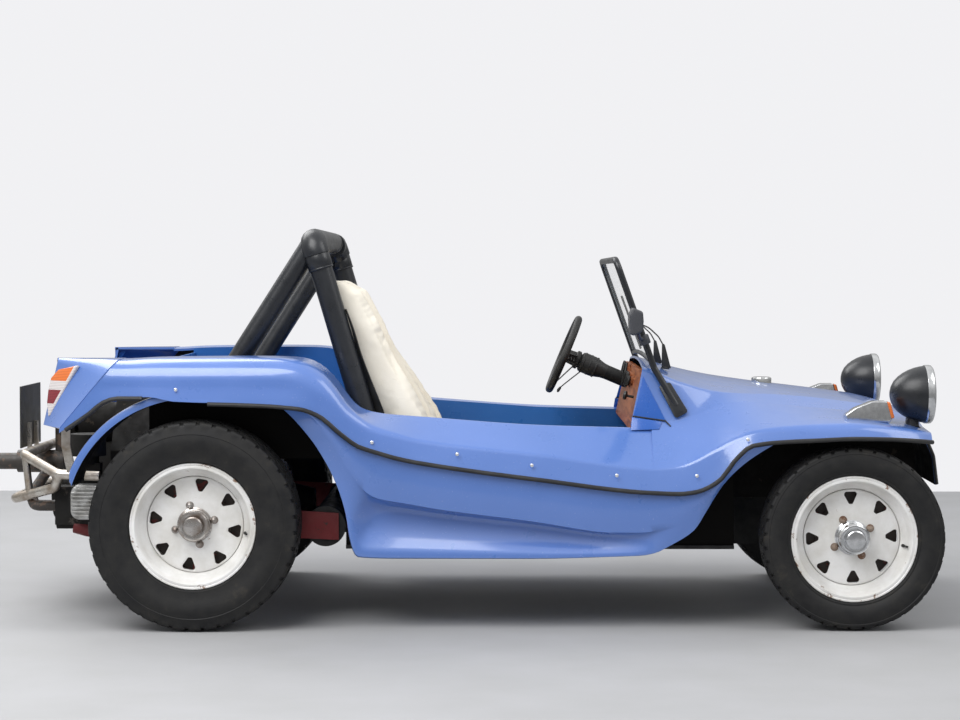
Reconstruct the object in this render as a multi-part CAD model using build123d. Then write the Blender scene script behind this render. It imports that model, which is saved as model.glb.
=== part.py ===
from build123d import *
import os
from math import atan2, cos, radians, sin, tan

os.makedirs("parts", exist_ok=True)

# Frame: x forward, y to the left, z up, ground at z = 0, millimetres

# Overall sizes
nose_overhang = 317.0
wheelbase = 2165.0
tail_overhang = 828.0
front_track = 1310.0
rear_track = 1360.0
overall_height = 1325.0
overall_length = nose_overhang + wheelbase + tail_overhang
nose_x = overall_length / 2
front_axle_x = nose_x - nose_overhang
rear_axle_x = front_axle_x - wheelbase
tail_x = rear_axle_x - tail_overhang

# Clearances
fit_gap = 0.3
bearing_gap = 0.05

# Wheels
front_tyre_radius = 302.0
front_tyre_width = 185.0
front_rim_width = 140.0
rear_tyre_radius = 346.0
rear_tyre_width = 235.0
rear_rim_width = 180.0
bead_radius = 190.0
flange_radius = bead_radius + 17.5
well_radius = bead_radius - 28.0
drum_radius = well_radius - 44.0
rim_sheet = 5.0
window_count = 8
hub_radius = 52.0
front_wheel_y = front_track / 2
rear_wheel_y = rear_track / 2
front_hub_z = front_tyre_radius
rear_hub_z = rear_tyre_radius

# Body panels
wall = 8.0
side_plane = rear_wheel_y - rear_tyre_width / 2 - 2.5
body_half_width = rear_wheel_y + 112.0
clip_rear_x = front_axle_x - 658.0
clip_front_x = nose_x - 55.0

# Steering
kingpin_y = front_wheel_y - 75.0
steering_wheel_centre = Vector(front_axle_x - 925, side_plane - 210, 871)
steering_tilt = 22.8
steering_rim_radius = 141.0
steering_rim_tube = 14.0


# Helpers

def from_rear(distance):
    return rear_axle_x + distance


def from_front(distance):
    return front_axle_x + distance


def inner_points(points, thickness):
    # The inner face lies on the left of the chain
    moved = []
    last = len(points) - 1
    for i, (u, v) in enumerate(points):
        normals = []
        for a, b in ((i - 1, i), (i, i + 1)):
            if a < 0 or b > last:
                continue
            step = Vector(points[b][0] - points[a][0], points[b][1] - points[a][1])
            step = step.normalized()
            normals.append(Vector(-step.Y, step.X))
        if len(normals) == 1:
            shift = normals[0] * thickness
        else:
            total = normals[0] + normals[1]
            shift = total * (thickness / (1 + normals[0].dot(normals[1])))
        moved.append((u + shift.X, v + shift.Y))
    return moved


def turn_at(points, i):
    ax = points[i][0] - points[i - 1][0]
    ay = points[i][1] - points[i - 1][1]
    bx = points[i + 1][0] - points[i][0]
    by = points[i + 1][1] - points[i][1]
    return atan2(ax * by - ay * bx, ax * bx + ay * by)


def rounded_edges(points, radii):
    # Lines joined by one arc at each inner corner
    edges = []
    start = points[0]
    for i in range(1, len(points) - 1):
        corner = points[i]
        before = (corner - points[i - 1]).normalized()
        after = (points[i + 1] - corner).normalized()
        half_turn = radians(before.get_angle(after)) / 2
        radius = radii[i - 1]
        reach = radius * tan(half_turn)
        first = corner - before * reach
        second = corner + after * reach
        towards_centre = (after - before).normalized()
        middle = corner + towards_centre * (radius / cos(half_turn) - radius)
        edges.append(Edge.make_line(start, first))
        edges.append(Edge.make_three_point_arc(first, middle, second))
        start = second
    edges.append(Edge.make_line(start, points[-1]))
    return edges


def shell_section(points, radii, thickness, place):
    # Closed section of a moulded wall, from the outer chain inward
    inner = inner_points(points, thickness)
    inner_radii = []
    for i in range(1, len(points) - 1):
        grows = -1 if turn_at(points, i) > 0 else 1
        inner_radii.append(max(radii[i - 1] + grows * thickness, 1.0))
    outer_line = [place(u, v) for u, v in points]
    inner_line = [place(u, v) for u, v in reversed(inner)]
    edges = rounded_edges(outer_line, radii)
    edges.append(Edge.make_line(outer_line[-1], inner_line[0]))
    edges += rounded_edges(inner_line, inner_radii[::-1])
    edges.append(Edge.make_line(inner_line[-1], outer_line[0]))
    return Face(Wire(edges))


def block(x0, x1, y0, y1, z0, z1):
    centre = Pos((x0 + x1) / 2, (y0 + y1) / 2, (z0 + z1) / 2)
    return centre * Box(abs(x1 - x0), abs(y1 - y0), abs(z1 - z0))


def prism(points, direction):
    outline = Face(Wire.make_polygon([Vector(*p) for p in points], close=True))
    return Solid.extrude(outline, Vector(*direction))


def rod(start, end, radius):
    start = Vector(*start)
    end = Vector(*end)
    span = end - start
    return Solid.make_cylinder(radius, span.length, Plane(start, z_dir=span))


def tube(points, radius, bend):
    line = [Vector(*p) for p in points]
    path = Wire(rounded_edges(line, [bend] * (len(line) - 2)))
    profile = Plane(line[0], z_dir=line[1] - line[0]) * Circle(radius)
    return sweep(profile, path=path)


def turned(profile, axis):
    outline = Face(Wire.make_polygon([Vector(*p) for p in profile], close=True))
    return revolve(outline, axis)


def mirrored(shape):
    return mirror(shape, about=Plane.XZ)


def save(name, *shapes):
    solids = [solid for shape in shapes for solid in shape.solids()]
    whole = solids[0] if len(solids) == 1 else Compound(children=solids)
    export_step(whole, f"parts/{name}.step")


def save_pair(name, right):
    save(f"{name}_right", right)
    save(f"{name}_left", mirrored(right))


# Floor pan with tunnel, torsion tube and frame horns, one weldment

pan_rear_x = from_rear(487)
pan_front_x = from_front(-378)
pan_half_width = side_plane + 10
pan_bottom_z = 250.0
pan_top_z = 262.0
tunnel_half_width = 75.0
tunnel_top_z = 400.0
torsion_x = from_rear(415)
torsion_z = 320.0
torsion_radius = 60.0
rear_plate_y = rear_wheel_y - 80.0
torsion_half_width = rear_plate_y - 100.0
beam_x = from_front(120)
beam_tube_radius = 25.0

pan = block(pan_rear_x, pan_front_x, -pan_half_width, pan_half_width, pan_bottom_z, pan_top_z)
tunnel = block(
    torsion_x, pan_front_x + 40, -tunnel_half_width, tunnel_half_width, pan_bottom_z, tunnel_top_z
)
tunnel = fillet(tunnel.edges().filter_by(Axis.X).group_by(Axis.Z)[-1], 40)
head_front_x = beam_x - beam_tube_radius - fit_gap
frame_head = block(pan_front_x - 60, head_front_x, -110, 110, 215, 385)
torsion_tube = rod(
    (torsion_x, -torsion_half_width, torsion_z), (torsion_x, torsion_half_width, torsion_z), torsion_radius
)
horn_front_z = 300.0
horn_rear_x = from_rear(-98)
horn_rear_z = 250.0
horn_radius = 28.0


def horn(side, radius):
    return rod((torsion_x, side * 150, horn_front_z), (horn_rear_x, side * 185, horn_rear_z), radius)


floor_pan = pan + tunnel + frame_head + torsion_tube
for side in (-1, 1):
    cover_start = (torsion_x, side * torsion_half_width, torsion_z)
    cover_end = (torsion_x, side * (torsion_half_width + 20), torsion_z)
    floor_pan += horn(side, horn_radius)
    floor_pan += rod(cover_start, cover_end, 68)
save("floor_pan", floor_pan)

# Front axle beam with trailing arms

arm_rise = 75.0
arm_thickness = 24.0
arm_eye_radius = 24.0
beam_end_y = kingpin_y - 150.0

front_beam = None
for rise in (-arm_rise, arm_rise):
    z = front_hub_z + rise
    cross_tube = rod((beam_x, -beam_end_y, z), (beam_x, beam_end_y, z), beam_tube_radius)
    front_beam = cross_tube if front_beam is None else front_beam + cross_tube
    for side in (-1, 1):
        low = z - arm_thickness / 2
        arm = prism(
            [
                (beam_x + 18, side * (beam_end_y - 30), low),
                (front_axle_x + 14, side * (kingpin_y + 6), low),
                (front_axle_x - 14, side * (kingpin_y - 6), low),
                (beam_x - 18, side * (beam_end_y - 55), low),
            ],
            (0, 0, arm_thickness),
        )
        eye_start = (front_axle_x, side * kingpin_y, low)
        eye_end = (front_axle_x, side * kingpin_y, low + arm_thickness)
        front_beam += arm
        front_beam += rod(eye_start, eye_end, arm_eye_radius)
for y in (100 - beam_end_y, -90, 90, beam_end_y - 100):
    front_beam += block(
        beam_x - 12, beam_x + 12, y - 10, y + 10, front_hub_z - arm_rise, front_hub_z + arm_rise
    )
save("front_beam", front_beam)

# Steering knuckles, built for the left and mirrored

knuckle_half_height = arm_rise - arm_thickness / 2 - fit_gap
stub_radius = 18.0
front_stub_end_y = front_wheel_y + 30.0


def on_stub(y):
    return (front_axle_x, y, front_hub_z)


knuckle = rod(
    (front_axle_x, kingpin_y, front_hub_z - knuckle_half_height),
    (front_axle_x, kingpin_y, front_hub_z + knuckle_half_height),
    22,
)
knuckle += rod(on_stub(kingpin_y), on_stub(kingpin_y + 30), 34)
knuckle += rod(on_stub(kingpin_y), on_stub(front_stub_end_y), stub_radius)
knuckle += rod(on_stub(kingpin_y + 29), on_stub(kingpin_y + 34), drum_radius)
knuckle += block(
    front_axle_x - 120, front_axle_x, kingpin_y - 14, kingpin_y + 4, front_hub_z - 32, front_hub_z - 18
)
save("knuckle_left", knuckle)
save("knuckle_right", mirrored(knuckle))

# Rear axle tubes, bearing housings and spring plates

rear_stub_radius = 20.0
plate_inner_y = torsion_half_width + 20 + fit_gap


def on_rear_axle(y):
    return (rear_axle_x, y, rear_hub_z)


axle = rod(on_rear_axle(129.6), on_rear_axle(torsion_half_width), 40)
axle += rod(on_rear_axle(rear_plate_y - 130), on_rear_axle(rear_plate_y), 62)
axle += rod(on_rear_axle(rear_plate_y - 5), on_rear_axle(rear_plate_y), drum_radius + 2)
axle += rod(on_rear_axle(rear_plate_y), on_rear_axle(rear_wheel_y + 20), rear_stub_radius)
axle += prism(
    [
        (torsion_x + 45, plate_inner_y, torsion_z - 45),
        (torsion_x + 45, plate_inner_y, torsion_z + 45),
        (rear_axle_x - 40, plate_inner_y, rear_hub_z + 50),
        (rear_axle_x - 40, plate_inner_y, rear_hub_z - 50),
    ],
    (0, 9, 0),
)
save("rear_axles", mirrored(axle), axle)

# Gearbox

gearbox_rear = -183.0
gearbox_profile = (
    (337, 0),
    (337, 55),
    (267, 72),
    (227, 100),
    (67, 110),
    (27, 125),
    (-53, 130),
    (-123, 152),
    (gearbox_rear, 165),
    (gearbox_rear, 0),
)
gearbox = turned(
    [(from_rear(x), 0, rear_hub_z + r) for x, r in gearbox_profile], Axis((0, 0, rear_hub_z), (1, 0, 0))
)
for side in (-1, 1):
    gearbox -= horn(side, horn_radius + fit_gap)
save("gearbox", gearbox)

# Engine

engine_front_x = from_rear(gearbox_rear - fit_gap)
engine_rear_x = from_rear(-573)
crank_z = 380.0
case_half_width = 130.0
case_top_z = 455.0
engine_case = block(engine_front_x, engine_rear_x, -case_half_width, case_half_width, 265, case_top_z)
engine_case = fillet(engine_case.edges().filter_by(Axis.X), 25)
engine_case += rod((engine_rear_x, 0, crank_z), (engine_rear_x - 24, 0, crank_z), 85)
engine_case += block(from_rear(-373), from_rear(-493), -45, 45, case_top_z - 5, 568)
save("engine_case", engine_case)

barrel_offsets = (-293.0, -483.0)
fin_count = 7
fin_pitch = 22.0
head_rear_x = from_rear(-525)
head_inner_y = 300.0
head_outer_y = 390.0
head_bottom_z = 310.0
head_top_z = 440.0
cover_outer_y = 445.0
cover_front_x = from_rear(-263)
cover_rear_x = from_rear(-468)
rib_count = 5


def cylinder_bank():
    bank = block(from_rear(-233), head_rear_x, head_inner_y, head_outer_y, head_bottom_z, head_top_z)
    for x in (from_rear(offset) for offset in barrel_offsets):
        bank += rod((x, case_half_width + fit_gap, crank_z), (x, head_inner_y, crank_z), 48)
        for i in range(fin_count):
            y = case_half_width + 12 + fin_pitch * i
            bank += rod((x, y, crank_z), (x, y + 7, crank_z), 64)
    cover = block(cover_front_x, cover_rear_x, head_outer_y, cover_outer_y, 338, 448)
    cover = fillet(cover.edges().filter_by(Axis.Y), 30)
    bank += cover
    for i in range(rib_count):
        z = 358 + 17 * i
        bank += block(
            cover_front_x - 15, cover_rear_x + 15, cover_outer_y, cover_outer_y + 5, z, z + 7
        )
    return bank


bank_left = cylinder_bank()
save("cylinder_banks", mirrored(bank_left), bank_left)

shroud_front_x = from_rear(-203)
shroud_rear_x = from_rear(-343)
shroud_outline = [
    (-330, 470),
    (-330, 560),
    (-230, 680),
    (-150, 800),
    (150, 800),
    (230, 680),
    (330, 560),
    (330, 470),
]
shroud = prism([(shroud_front_x, y, z) for y, z in shroud_outline], (shroud_rear_x - shroud_front_x, 0, 0))
shroud += block(shroud_front_x, from_rear(-273), -110, 110, case_top_z + fit_gap, 480)
save("fan_shroud", shroud)

alternator_z = 640.0
alternator_steps = ((fit_gap, 160, 71), (155, 180, 30), (175, 200, 66))
alternator = None
for start, end, radius in alternator_steps:
    step = rod((shroud_rear_x - start, 0, alternator_z), (shroud_rear_x - end, 0, alternator_z), radius)
    alternator = step if alternator is None else alternator + step
save("alternator", alternator)

carburettor_x = from_rear(-418)
carburettor_y = 345.0
carburettor = block(carburettor_x - 45, carburettor_x + 45, 318, 372, head_top_z + fit_gap, 520)
for low, high, radius in ((515, 550, 38), (545, 620, 62)):
    carburettor += rod((carburettor_x, carburettor_y, low), (carburettor_x, carburettor_y, high), radius)
save("carburettors", mirrored(carburettor), carburettor)

# Exhaust headers, riser and silencer

silencer_y = 120.0
silencer_z = 488.0
silencer_radius = 41.0
riser_x = from_rear(-603)
riser_top_z = 735.0
port_y = 345.0
port_z = 372.0
pipe_radius = 19.0


def on_silencer(x):
    return (x, silencer_y, silencer_z)


exhaust = rod(on_silencer(from_rear(-588)), on_silencer(tail_x + 70), silencer_radius)
exhaust += rod(on_silencer(tail_x + 75), on_silencer(tail_x), 30)
exhaust -= rod(on_silencer(tail_x + 60), on_silencer(tail_x - 1), 26)
exhaust += rod((riser_x, silencer_y, silencer_z), (riser_x, silencer_y, riser_top_z), pipe_radius)
exhaust += Pos(riser_x, silencer_y, riser_top_z) * Sphere(pipe_radius)
for side in (-1, 1):
    exhaust += tube(
        [
            (head_rear_x - fit_gap, side * port_y, port_z),
            (from_rear(-603), side * port_y, port_z),
            (from_rear(-635), side * 255, port_z + 26),
            (from_rear(-635), silencer_y, silencer_z - 10),
        ],
        pipe_radius,
        30,
    )
save("exhaust", exhaust)

# Rear tube bumper with its stays

bumper_radius = 17.0
loop_front_y = side_plane - 110
upper_half = [
    (from_rear(-358), loop_front_y + 12, 484),
    (from_rear(-503), loop_front_y, 488),
    (from_rear(-643), loop_front_y - 120, 547),
]
lower_half = [
    (from_rear(-495), loop_front_y, 487),
    (from_rear(-518), loop_front_y - 25, 440),
    (from_rear(-681), loop_front_y - 150, 392),
]


def full_loop(half):
    return [(x, -y, z) for x, y, z in half] + half[::-1]


bumper = tube(full_loop(upper_half), bumper_radius, 50)
bumper += tube(full_loop(lower_half), bumper_radius, 40)
stay_x = from_rear(-469)
stay_outer_y = side_plane - 0.4
stay_outline = [
    (stay_outer_y, 730),
    (stay_outer_y - 6, 730),
    (stay_outer_y - 6, 596),
    (loop_front_y, 494),
    (loop_front_y + 6, 488),
    (stay_outer_y, 592),
]
post_top_x = from_rear(-636)
post_low_x = from_rear(-620)
for side in (-1, 1):
    bumper += prism([(stay_x, side * y, z) for y, z in stay_outline], (30, 0, 0))
    post_top = (post_top_x, side * (loop_front_y - 110), 545)
    post_low = (post_low_x, side * (loop_front_y - 103), 410)
    bumper += rod(post_top, post_low, 13)
plate_front_x = from_rear(-685)
for y in (-60, 60):
    bumper += block(plate_front_x, plate_front_x + 12, y - 12, y + 12, 545, 640)
    bumper += block(plate_front_x, from_rear(-643), y - 12, y + 12, 538, 556)
save("rear_bumper", bumper)

plate_half_width = 170.0
plate_low_z = 556.0
plate_high_z = 774.0
plate_x = plate_front_x - fit_gap
plate = block(plate_x, plate_x - 5, -plate_half_width, plate_half_width, plate_low_z, plate_high_z)
save("number_plate", plate)

# Upper body sides, from the tail seam to the cowl
# x is measured from the rear axle, the "in" columns from the body's half width

side_columns = ("x", "rim_z", "top_in", "top_z", "bend_in", "bend_z", "bend_r", "edge_in", "edge_z")
side_mid = 737 + 0.52 * (clip_rear_x - from_rear(737))
side_rows = (
    (-435, 884, 182, 890, 32, 884, 60, 22, 652),
    (-333, 884, 182, 890, 24, 884, 70, 16, 722),
    (-290, 884, 182, 890, 20, 884, 75, 13, 756),
    (-242, 884, 182, 890, 16, 884, 80, 10, 770),
    (-140, 889, 182, 895, 8, 890, 90, 4, 770),
    (-60, 891, 182, 897, 6, 891, 90, 0, 756),
    (187, 893, 182, 899, 4, 893, 90, 0, 748),
    (281, 892, 182, 898, 4, 892, 90, 0, 743),
    (347, 888, 182, 894, 6, 882, 88, 2, 734),
    (388, 876, 182, 882, 9, 862, 84, 5, 721),
    (425, 853, 182, 859, 13, 838, 78, 8, 702),
    (468, 806, 182, 812, 18, 790, 66, 12, 664),
    (502, 758, 182, 764, 24, 742, 54, 16, 636),
    (539, 722, 182, 728, 30, 705, 44, 20, 610),
    (577, 708, 182, 714, 36, 676, 38, 23, 596),
    (617, 701, 182, 707, 41, 660, 34, 25, 584),
    (657, 697, 184, 703, 44, 648, 32, 27, 572),
    (737, 691, 186, 697, 48, 626, 28, 28, 555),
    (side_mid, 663, 186, 669, 52, 578, 28, 30, 499),
    (clip_rear_x - rear_axle_x, 652, 188, 658, 54, 531, 28, 30, 457),
)
top_radius = 14.0


def side_section(row):
    s = dict(zip(side_columns, row))
    points = [
        (-side_plane, s["rim_z"]),
        (s["top_in"] - body_half_width, s["top_z"]),
        (s["bend_in"] - body_half_width, s["bend_z"]),
        (s["edge_in"] - body_half_width, s["edge_z"]),
    ]
    radii = [top_radius, s["bend_r"]]
    return shell_section(points, radii, wall, lambda u, v: Vector(from_rear(s["x"]), u, v))


tail_top_z = 890.0
tail_bottom_z = 668.0
seam_top_x = from_rear(-249)
seam_bottom_x = from_rear(-435)
seam_gap = 0.4
seam_run = (seam_top_x - seam_bottom_x) / (tail_top_z - tail_bottom_z)


def seam_x(z):
    return seam_bottom_x + seam_gap + (z - tail_bottom_z) * seam_run


body_side = loft([side_section(row) for row in side_rows], ruled=True)
behind_seam = prism(
    [
        (seam_x(600), -body_half_width - 100, 600),
        (seam_x(960), -body_half_width - 100, 960),
        (seam_x(960) - 500, -body_half_width - 100, 960),
        (seam_x(960) - 500, -body_half_width - 100, 600),
    ],
    (0, 400, 0),
)
body_side -= behind_seam
save_pair("body_side", body_side)

# Front clip: bonnet, both front wings and cowl in one moulding
# x is measured from the front axle

clip_columns = ("x", "edge_in", "edge_z", "bend_in", "bend_z", "bend_r", "dip_in", "dip_z", "ridge_in",
                "ridge_z", "crown_z")
clip_rows = (
    (-726, 30, 460, 54, 532, 28, 195, 674, 247, 868, 884),
    (-658, 30, 457, 54, 531, 28, 196, 675, 247, 852, 870),
    (-578, 30, 454, 54, 537, 28, 198, 680, 256, 816, 846),
    (-518, 30, 461, 54, 559, 28, 208, 698, 268, 796, 832),
    (-478, 30, 477, 56, 582, 32, 222, 714, 280, 784, 823),
    (-438, 30, 505, 57, 605, 35, 238, 728, 296, 776, 815),
    (-398, 31, 560, 57, 629, 38, 254, 739, 314, 771, 808),
    (-338, 32, 611, 57, 654, 34, 274, 742, 344, 766, 799),
    (-243, 34, 623, 55, 668, 40, 296, 734, 384, 762, 786),
    (-118, 36, 629, 55, 676, 45, 308, 722, 408, 752, 771),
    (2, 36, 634, 57, 680, 45, 312, 711, 418, 738, 756),
    (102, 44, 632, 66, 672, 45, 306, 696, 404, 724, 742),
    (182, 62, 627, 88, 662, 40, 300, 680, 388, 702, 722),
    (232, 88, 622, 112, 652, 32, 296, 666, 380, 686, 705),
    (clip_front_x - front_axle_x, 112, 618, 137, 646, 24, 292, 656, 372, 672, 690),
)
dip_radius = 30.0
ridge_radius = 30.0
crown_radius = 900.0


def clip_section(row):
    s = dict(zip(clip_columns, row))
    half = []
    for corner in ("edge", "bend", "dip", "ridge"):
        half.append((body_half_width - s[corner + "_in"], s[corner + "_z"]))
    points = half + [(0, s["crown_z"])] + [(-y, z) for y, z in reversed(half)]
    half_radii = [s["bend_r"], dip_radius, ridge_radius]
    radii = half_radii + [crown_radius] + half_radii[::-1]
    return shell_section(points, radii, wall, lambda u, v: Vector(from_front(s["x"]), u, v))


cowl_low_z = 660.5
cowl_run = 0.2209


def cowl_x(z):
    return from_front(-719) + (z - 699) * cowl_run


front_clip = loft([clip_section(row) for row in clip_rows], ruled=True)
front_clip -= block(
    clip_rear_x - 100, clip_rear_x + fit_gap, -body_half_width, body_half_width, 400, cowl_low_z
)
front_clip -= prism(
    [
        (cowl_x(600), -body_half_width, 600),
        (cowl_x(960), -body_half_width, 960),
        (cowl_x(600) - 60, -body_half_width, 960),
        (cowl_x(600) - 60, -body_half_width, 600),
    ],
    (0, 2 * body_half_width, 0),
)
save("front_clip", front_clip)

# Nose panel under the front edge of the clip

nose_half_width = body_half_width - 272
nose_rows = (
    (-nose_half_width, 638, 8),
    (-280, 669.2, 2),
    (0, 676.2, 0),
    (280, 669.2, 2),
    (nose_half_width, 638, 8),
)


def nose_section(y, top_z, setback):
    points = [
        (nose_x - setback, 463),
        (nose_x - 12 - setback, 560),
        (clip_front_x + 0.6, top_z),
    ]
    return shell_section(points, [60], wall, lambda u, v: Vector(u, y, v))


nose_panel = loft([nose_section(*row) for row in nose_rows])
save("nose_panel", nose_panel)

# Front wheel wells: a dark panel each side, from the footwell to the nose

well_y = kingpin_y - 180.0
well_outline = [
    (pan_front_x + fit_gap, 410),
    (pan_front_x + fit_gap, 650),
    (clip_front_x - 30, 640),
    (clip_front_x - 10, 560),
    (clip_front_x - 10, 410),
]
front_well = prism([(x, well_y, z) for x, z in well_outline], (0, wall, 0))
save("front_wells", mirrored(front_well), front_well)

# Tail corners that carry the rear lamps

tail_outer_y = body_half_width - 16
tail_top = [
    (seam_top_x, -tail_outer_y),
    (from_rear(-363), 102 - body_half_width),
    (from_rear(-469), 186 - body_half_width),
    (from_rear(-469), -side_plane),
    (seam_top_x, -side_plane),
]
tail_bottom = [
    (seam_bottom_x, 8 - tail_outer_y),
    (from_rear(-478), 102 - body_half_width),
    (from_rear(-520), 186 - body_half_width),
    (from_rear(-520), -side_plane),
    (seam_bottom_x, -side_plane),
]


def tail_solid(inset, top_z, bottom_z):
    loops = []
    for outline, z in ((tail_bottom, bottom_z), (tail_top, top_z)):
        face = Face(Wire.make_polygon([Vector(x, y, z) for x, y in outline], close=True))
        if inset:
            face = offset(face, -inset).faces()[0]
        loops.append(face)
    return loft(loops)


tail_hollow = tail_solid(wall, tail_top_z - wall, tail_bottom_z - 2)
tail_corner = tail_solid(0, tail_top_z, tail_bottom_z) - tail_hollow
tail_corner -= Pos(14, 0, 0) * tail_hollow
save_pair("tail_corner", tail_corner)

# Tail lamps, a wedge on each rear corner face
# down and across are shares of the face from its upper rear corner

lamp_corner = Vector(*tail_top[2], tail_top_z)
lamp_down = Vector(*tail_bottom[2], tail_bottom_z) - lamp_corner
lamp_across = Vector(*tail_top[1], tail_top_z) - lamp_corner
lamp_normal = lamp_across.cross(lamp_down).normalized() * -1
lamp_depth = 32.0
lamp_sunk = 12.0
lamp_shares = (
    (0.10, 0.92),
    (0.17, 0.25),
    (0.30, 0.05),
    (0.50, 0.05),
    (0.67, 0.10),
    (0.88, 0.26),
    (0.86, 0.32),
)
lamp_points = []
for down, across in lamp_shares:
    point = lamp_corner + lamp_down * down + lamp_across * across - lamp_normal * lamp_sunk
    lamp_points.append((point.X, point.Y, point.Z))
lamp_reach = lamp_normal * lamp_depth
tail_lamp = prism(lamp_points, (lamp_reach.X, lamp_reach.Y, lamp_reach.Z))
save("tail_lamps", tail_lamp, mirrored(tail_lamp))

# Sill pods under the body sides
# x is measured from the rear axle

pod_columns = ("x", "top_in", "top_z", "crest_in", "crest_z", "groove_in", "groove_z", "lip_in",
               "lip_z", "base_z")
pod_rear = 615.0
pod_front = clip_rear_x + 10 - rear_axle_x


def pod_between(share):
    return pod_rear + share * (pod_front - pod_rear)


pod_rows = (
    (267, 18, 750, 24, 640, 40, 400, 54, 285, 237),
    (347, 20, 741, 28, 600, 44, 400, 54, 285, 237),
    (425, 24, 709, 32, 560, 50, 400, 54, 285, 237),
    (485, 30, 656, 38, 530, 56, 400, 54, 285, 237),
    (539, 35, 617, 43, 480, 66, 395, 56, 280, 237),
    (pod_rear, 40, 590, 48, 433, 112, 372, 58, 274, 236),
    (pod_between(0.22), 44, 551, 49, 399, 112, 345, 60, 271, 235),
    (pod_between(0.54), 45, 508, 49, 362, 104, 318, 60, 269, 238),
    (pod_between(0.83), 45, 478, 49, 327, 84, 298, 60, 269, 243),
    (pod_front, 45, 462, 49, 330, 64, 294, 56, 270, 247),
    (pod_front + 70, 45, 459, 49, 352, 60, 300, 54, 272, 248),
    (pod_front + 130, 45, 466, 49, 390, 60, 318, 54, 276, 250),
    (pod_front + 170, 45, 482, 49, 410, 60, 330, 54, 278, 251),
    (pod_front + 210, 45, 510, 49, 430, 60, 340, 54, 280, 252),
    (pod_front + 250, 45, 565, 49, 460, 60, 350, 54, 280, 252),
    (pod_front + 310, 45, 616, 49, 500, 60, 360, 54, 280, 252),
    (pod_front + 370, 45, 624, 49, 510, 60, 360, 54, 280, 252),
)


def pod_section(row):
    s = dict(zip(pod_columns, row))
    points = []
    for corner in ("top", "crest", "groove", "lip"):
        points.append((s[corner + "_in"] - body_half_width, s[corner + "_z"]))
    points.append((s["lip_in"] + 4 - body_half_width, s["base_z"]))
    points.append((-pan_half_width - 0.4, pan_bottom_z + 2))
    radii = [14, 22, 12, 10]
    return shell_section(points, radii, wall, lambda u, v: Vector(from_rear(s["x"]), u, v))


sill_pod = loft([pod_section(row) for row in pod_rows], ruled=True)
wheel_opening_radius = 651.0
sill_pod -= rod(
    (from_rear(-138), -body_half_width - 100, 238), (from_rear(-138), -300, 238), wheel_opening_radius
)
pod_front_cut = (
    (-60, 200),
    (-10, 250),
    (45, 275),
    (117, 317),
    (159, 387),
    (224, 490),
    (299, 560),
    (387, 614),
    (420, 660),
    (520, 660),
    (520, 200),
)
cut_points = [(from_rear(pod_front + x), -body_half_width - 100, z) for x, z in pod_front_cut]
sill_pod -= prism(cut_points, (0, 500, 0))
save_pair("sill_pod", sill_pod)

# Tub: its two side walls, and a liner of bulkhead, rear well and footwell panels

liner_outer_y = side_plane - fit_gap
liner_inner_y = liner_outer_y - wall
floor_z = pan_top_z + fit_gap
well_rear_x = from_rear(-173)
well_floor_z = 560.0
rim_line = []
for row in side_rows:
    x = from_rear(row[0])
    if well_rear_x < x < clip_rear_x:
        rim_line.append((x, row[1]))
rim_line.append((clip_rear_x - 4, 652))
wall_outline = [(pan_front_x, floor_z), (pan_front_x, 640), (clip_rear_x - 4, 640)]
wall_outline += rim_line[::-1]
wall_outline += [
    (well_rear_x, 885),
    (well_rear_x, well_floor_z - wall),
    (pan_rear_x, well_floor_z - wall),
    (pan_rear_x, floor_z),
]


def cross_panel(x0, x1, z0, z1):
    half_width = liner_inner_y - fit_gap
    return block(x0, x1, -half_width, half_width, z0, z1)


tub_sides = []
for y in (-liner_outer_y, liner_inner_y):
    tub_sides.append(prism([(x, y, z) for x, z in wall_outline], (0, wall, 0)))
save("tub_sides", *tub_sides)

liner = cross_panel(well_rear_x, pan_rear_x + wall, well_floor_z - wall, well_floor_z)
liner += cross_panel(pan_rear_x, pan_rear_x + wall, floor_z, well_floor_z)
liner += cross_panel(well_rear_x, well_rear_x + wall, well_floor_z, 870)
liner += cross_panel(pan_front_x - wall, pan_front_x, floor_z, 640)
liner -= block(
    torsion_x, pan_front_x + 50, -tunnel_half_width - 1, tunnel_half_width + 1, 200, tunnel_top_z + 1
)
liner -= block(pan_front_x - 70, pan_front_x + 50, -111, 111, 200, 386)
save("tub_liner", liner)

# Rear arch strips behind the wheels

arch_radius = 418.0
arch_start = 164.0
arch_sweep = 64.0
arch_outer_y = body_half_width - 22
rear_axis = Axis((rear_axle_x, 0, rear_hub_z), (0, 1, 0))


def arch_sector(inner_radius, outer_radius, y0, y1):
    corners = []
    for radius, y in ((inner_radius, y0), (outer_radius, y0), (outer_radius, y1), (inner_radius, y1)):
        x = rear_axle_x + radius * cos(radians(arch_start))
        z = rear_hub_z + radius * sin(radians(arch_start))
        corners.append(Vector(x, y, z))
    return revolve(Face(Wire.make_polygon(corners, close=True)), rear_axis, arch_sweep)


arch = arch_sector(arch_radius, arch_radius + wall, -arch_outer_y, -side_plane - 0.2)
arch += arch_sector(arch_radius, arch_radius + 22, -arch_outer_y, 5 - arch_outer_y)
save("rear_arches", arch, mirrored(arch))

# Dash panel with instruments

column_radius = 27.0
axis_x = cos(radians(steering_tilt))
axis_z = -sin(radians(steering_tilt))
dash_setback = 10.0
dash_thickness = 16.0
dash_half_width = liner_inner_y - fit_gap


def on_column(distance):
    c = steering_wheel_centre
    return (c.X + axis_x * distance, c.Y, c.Z + axis_z * distance)


def dash_x(z):
    return cowl_x(z) + dash_setback


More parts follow.
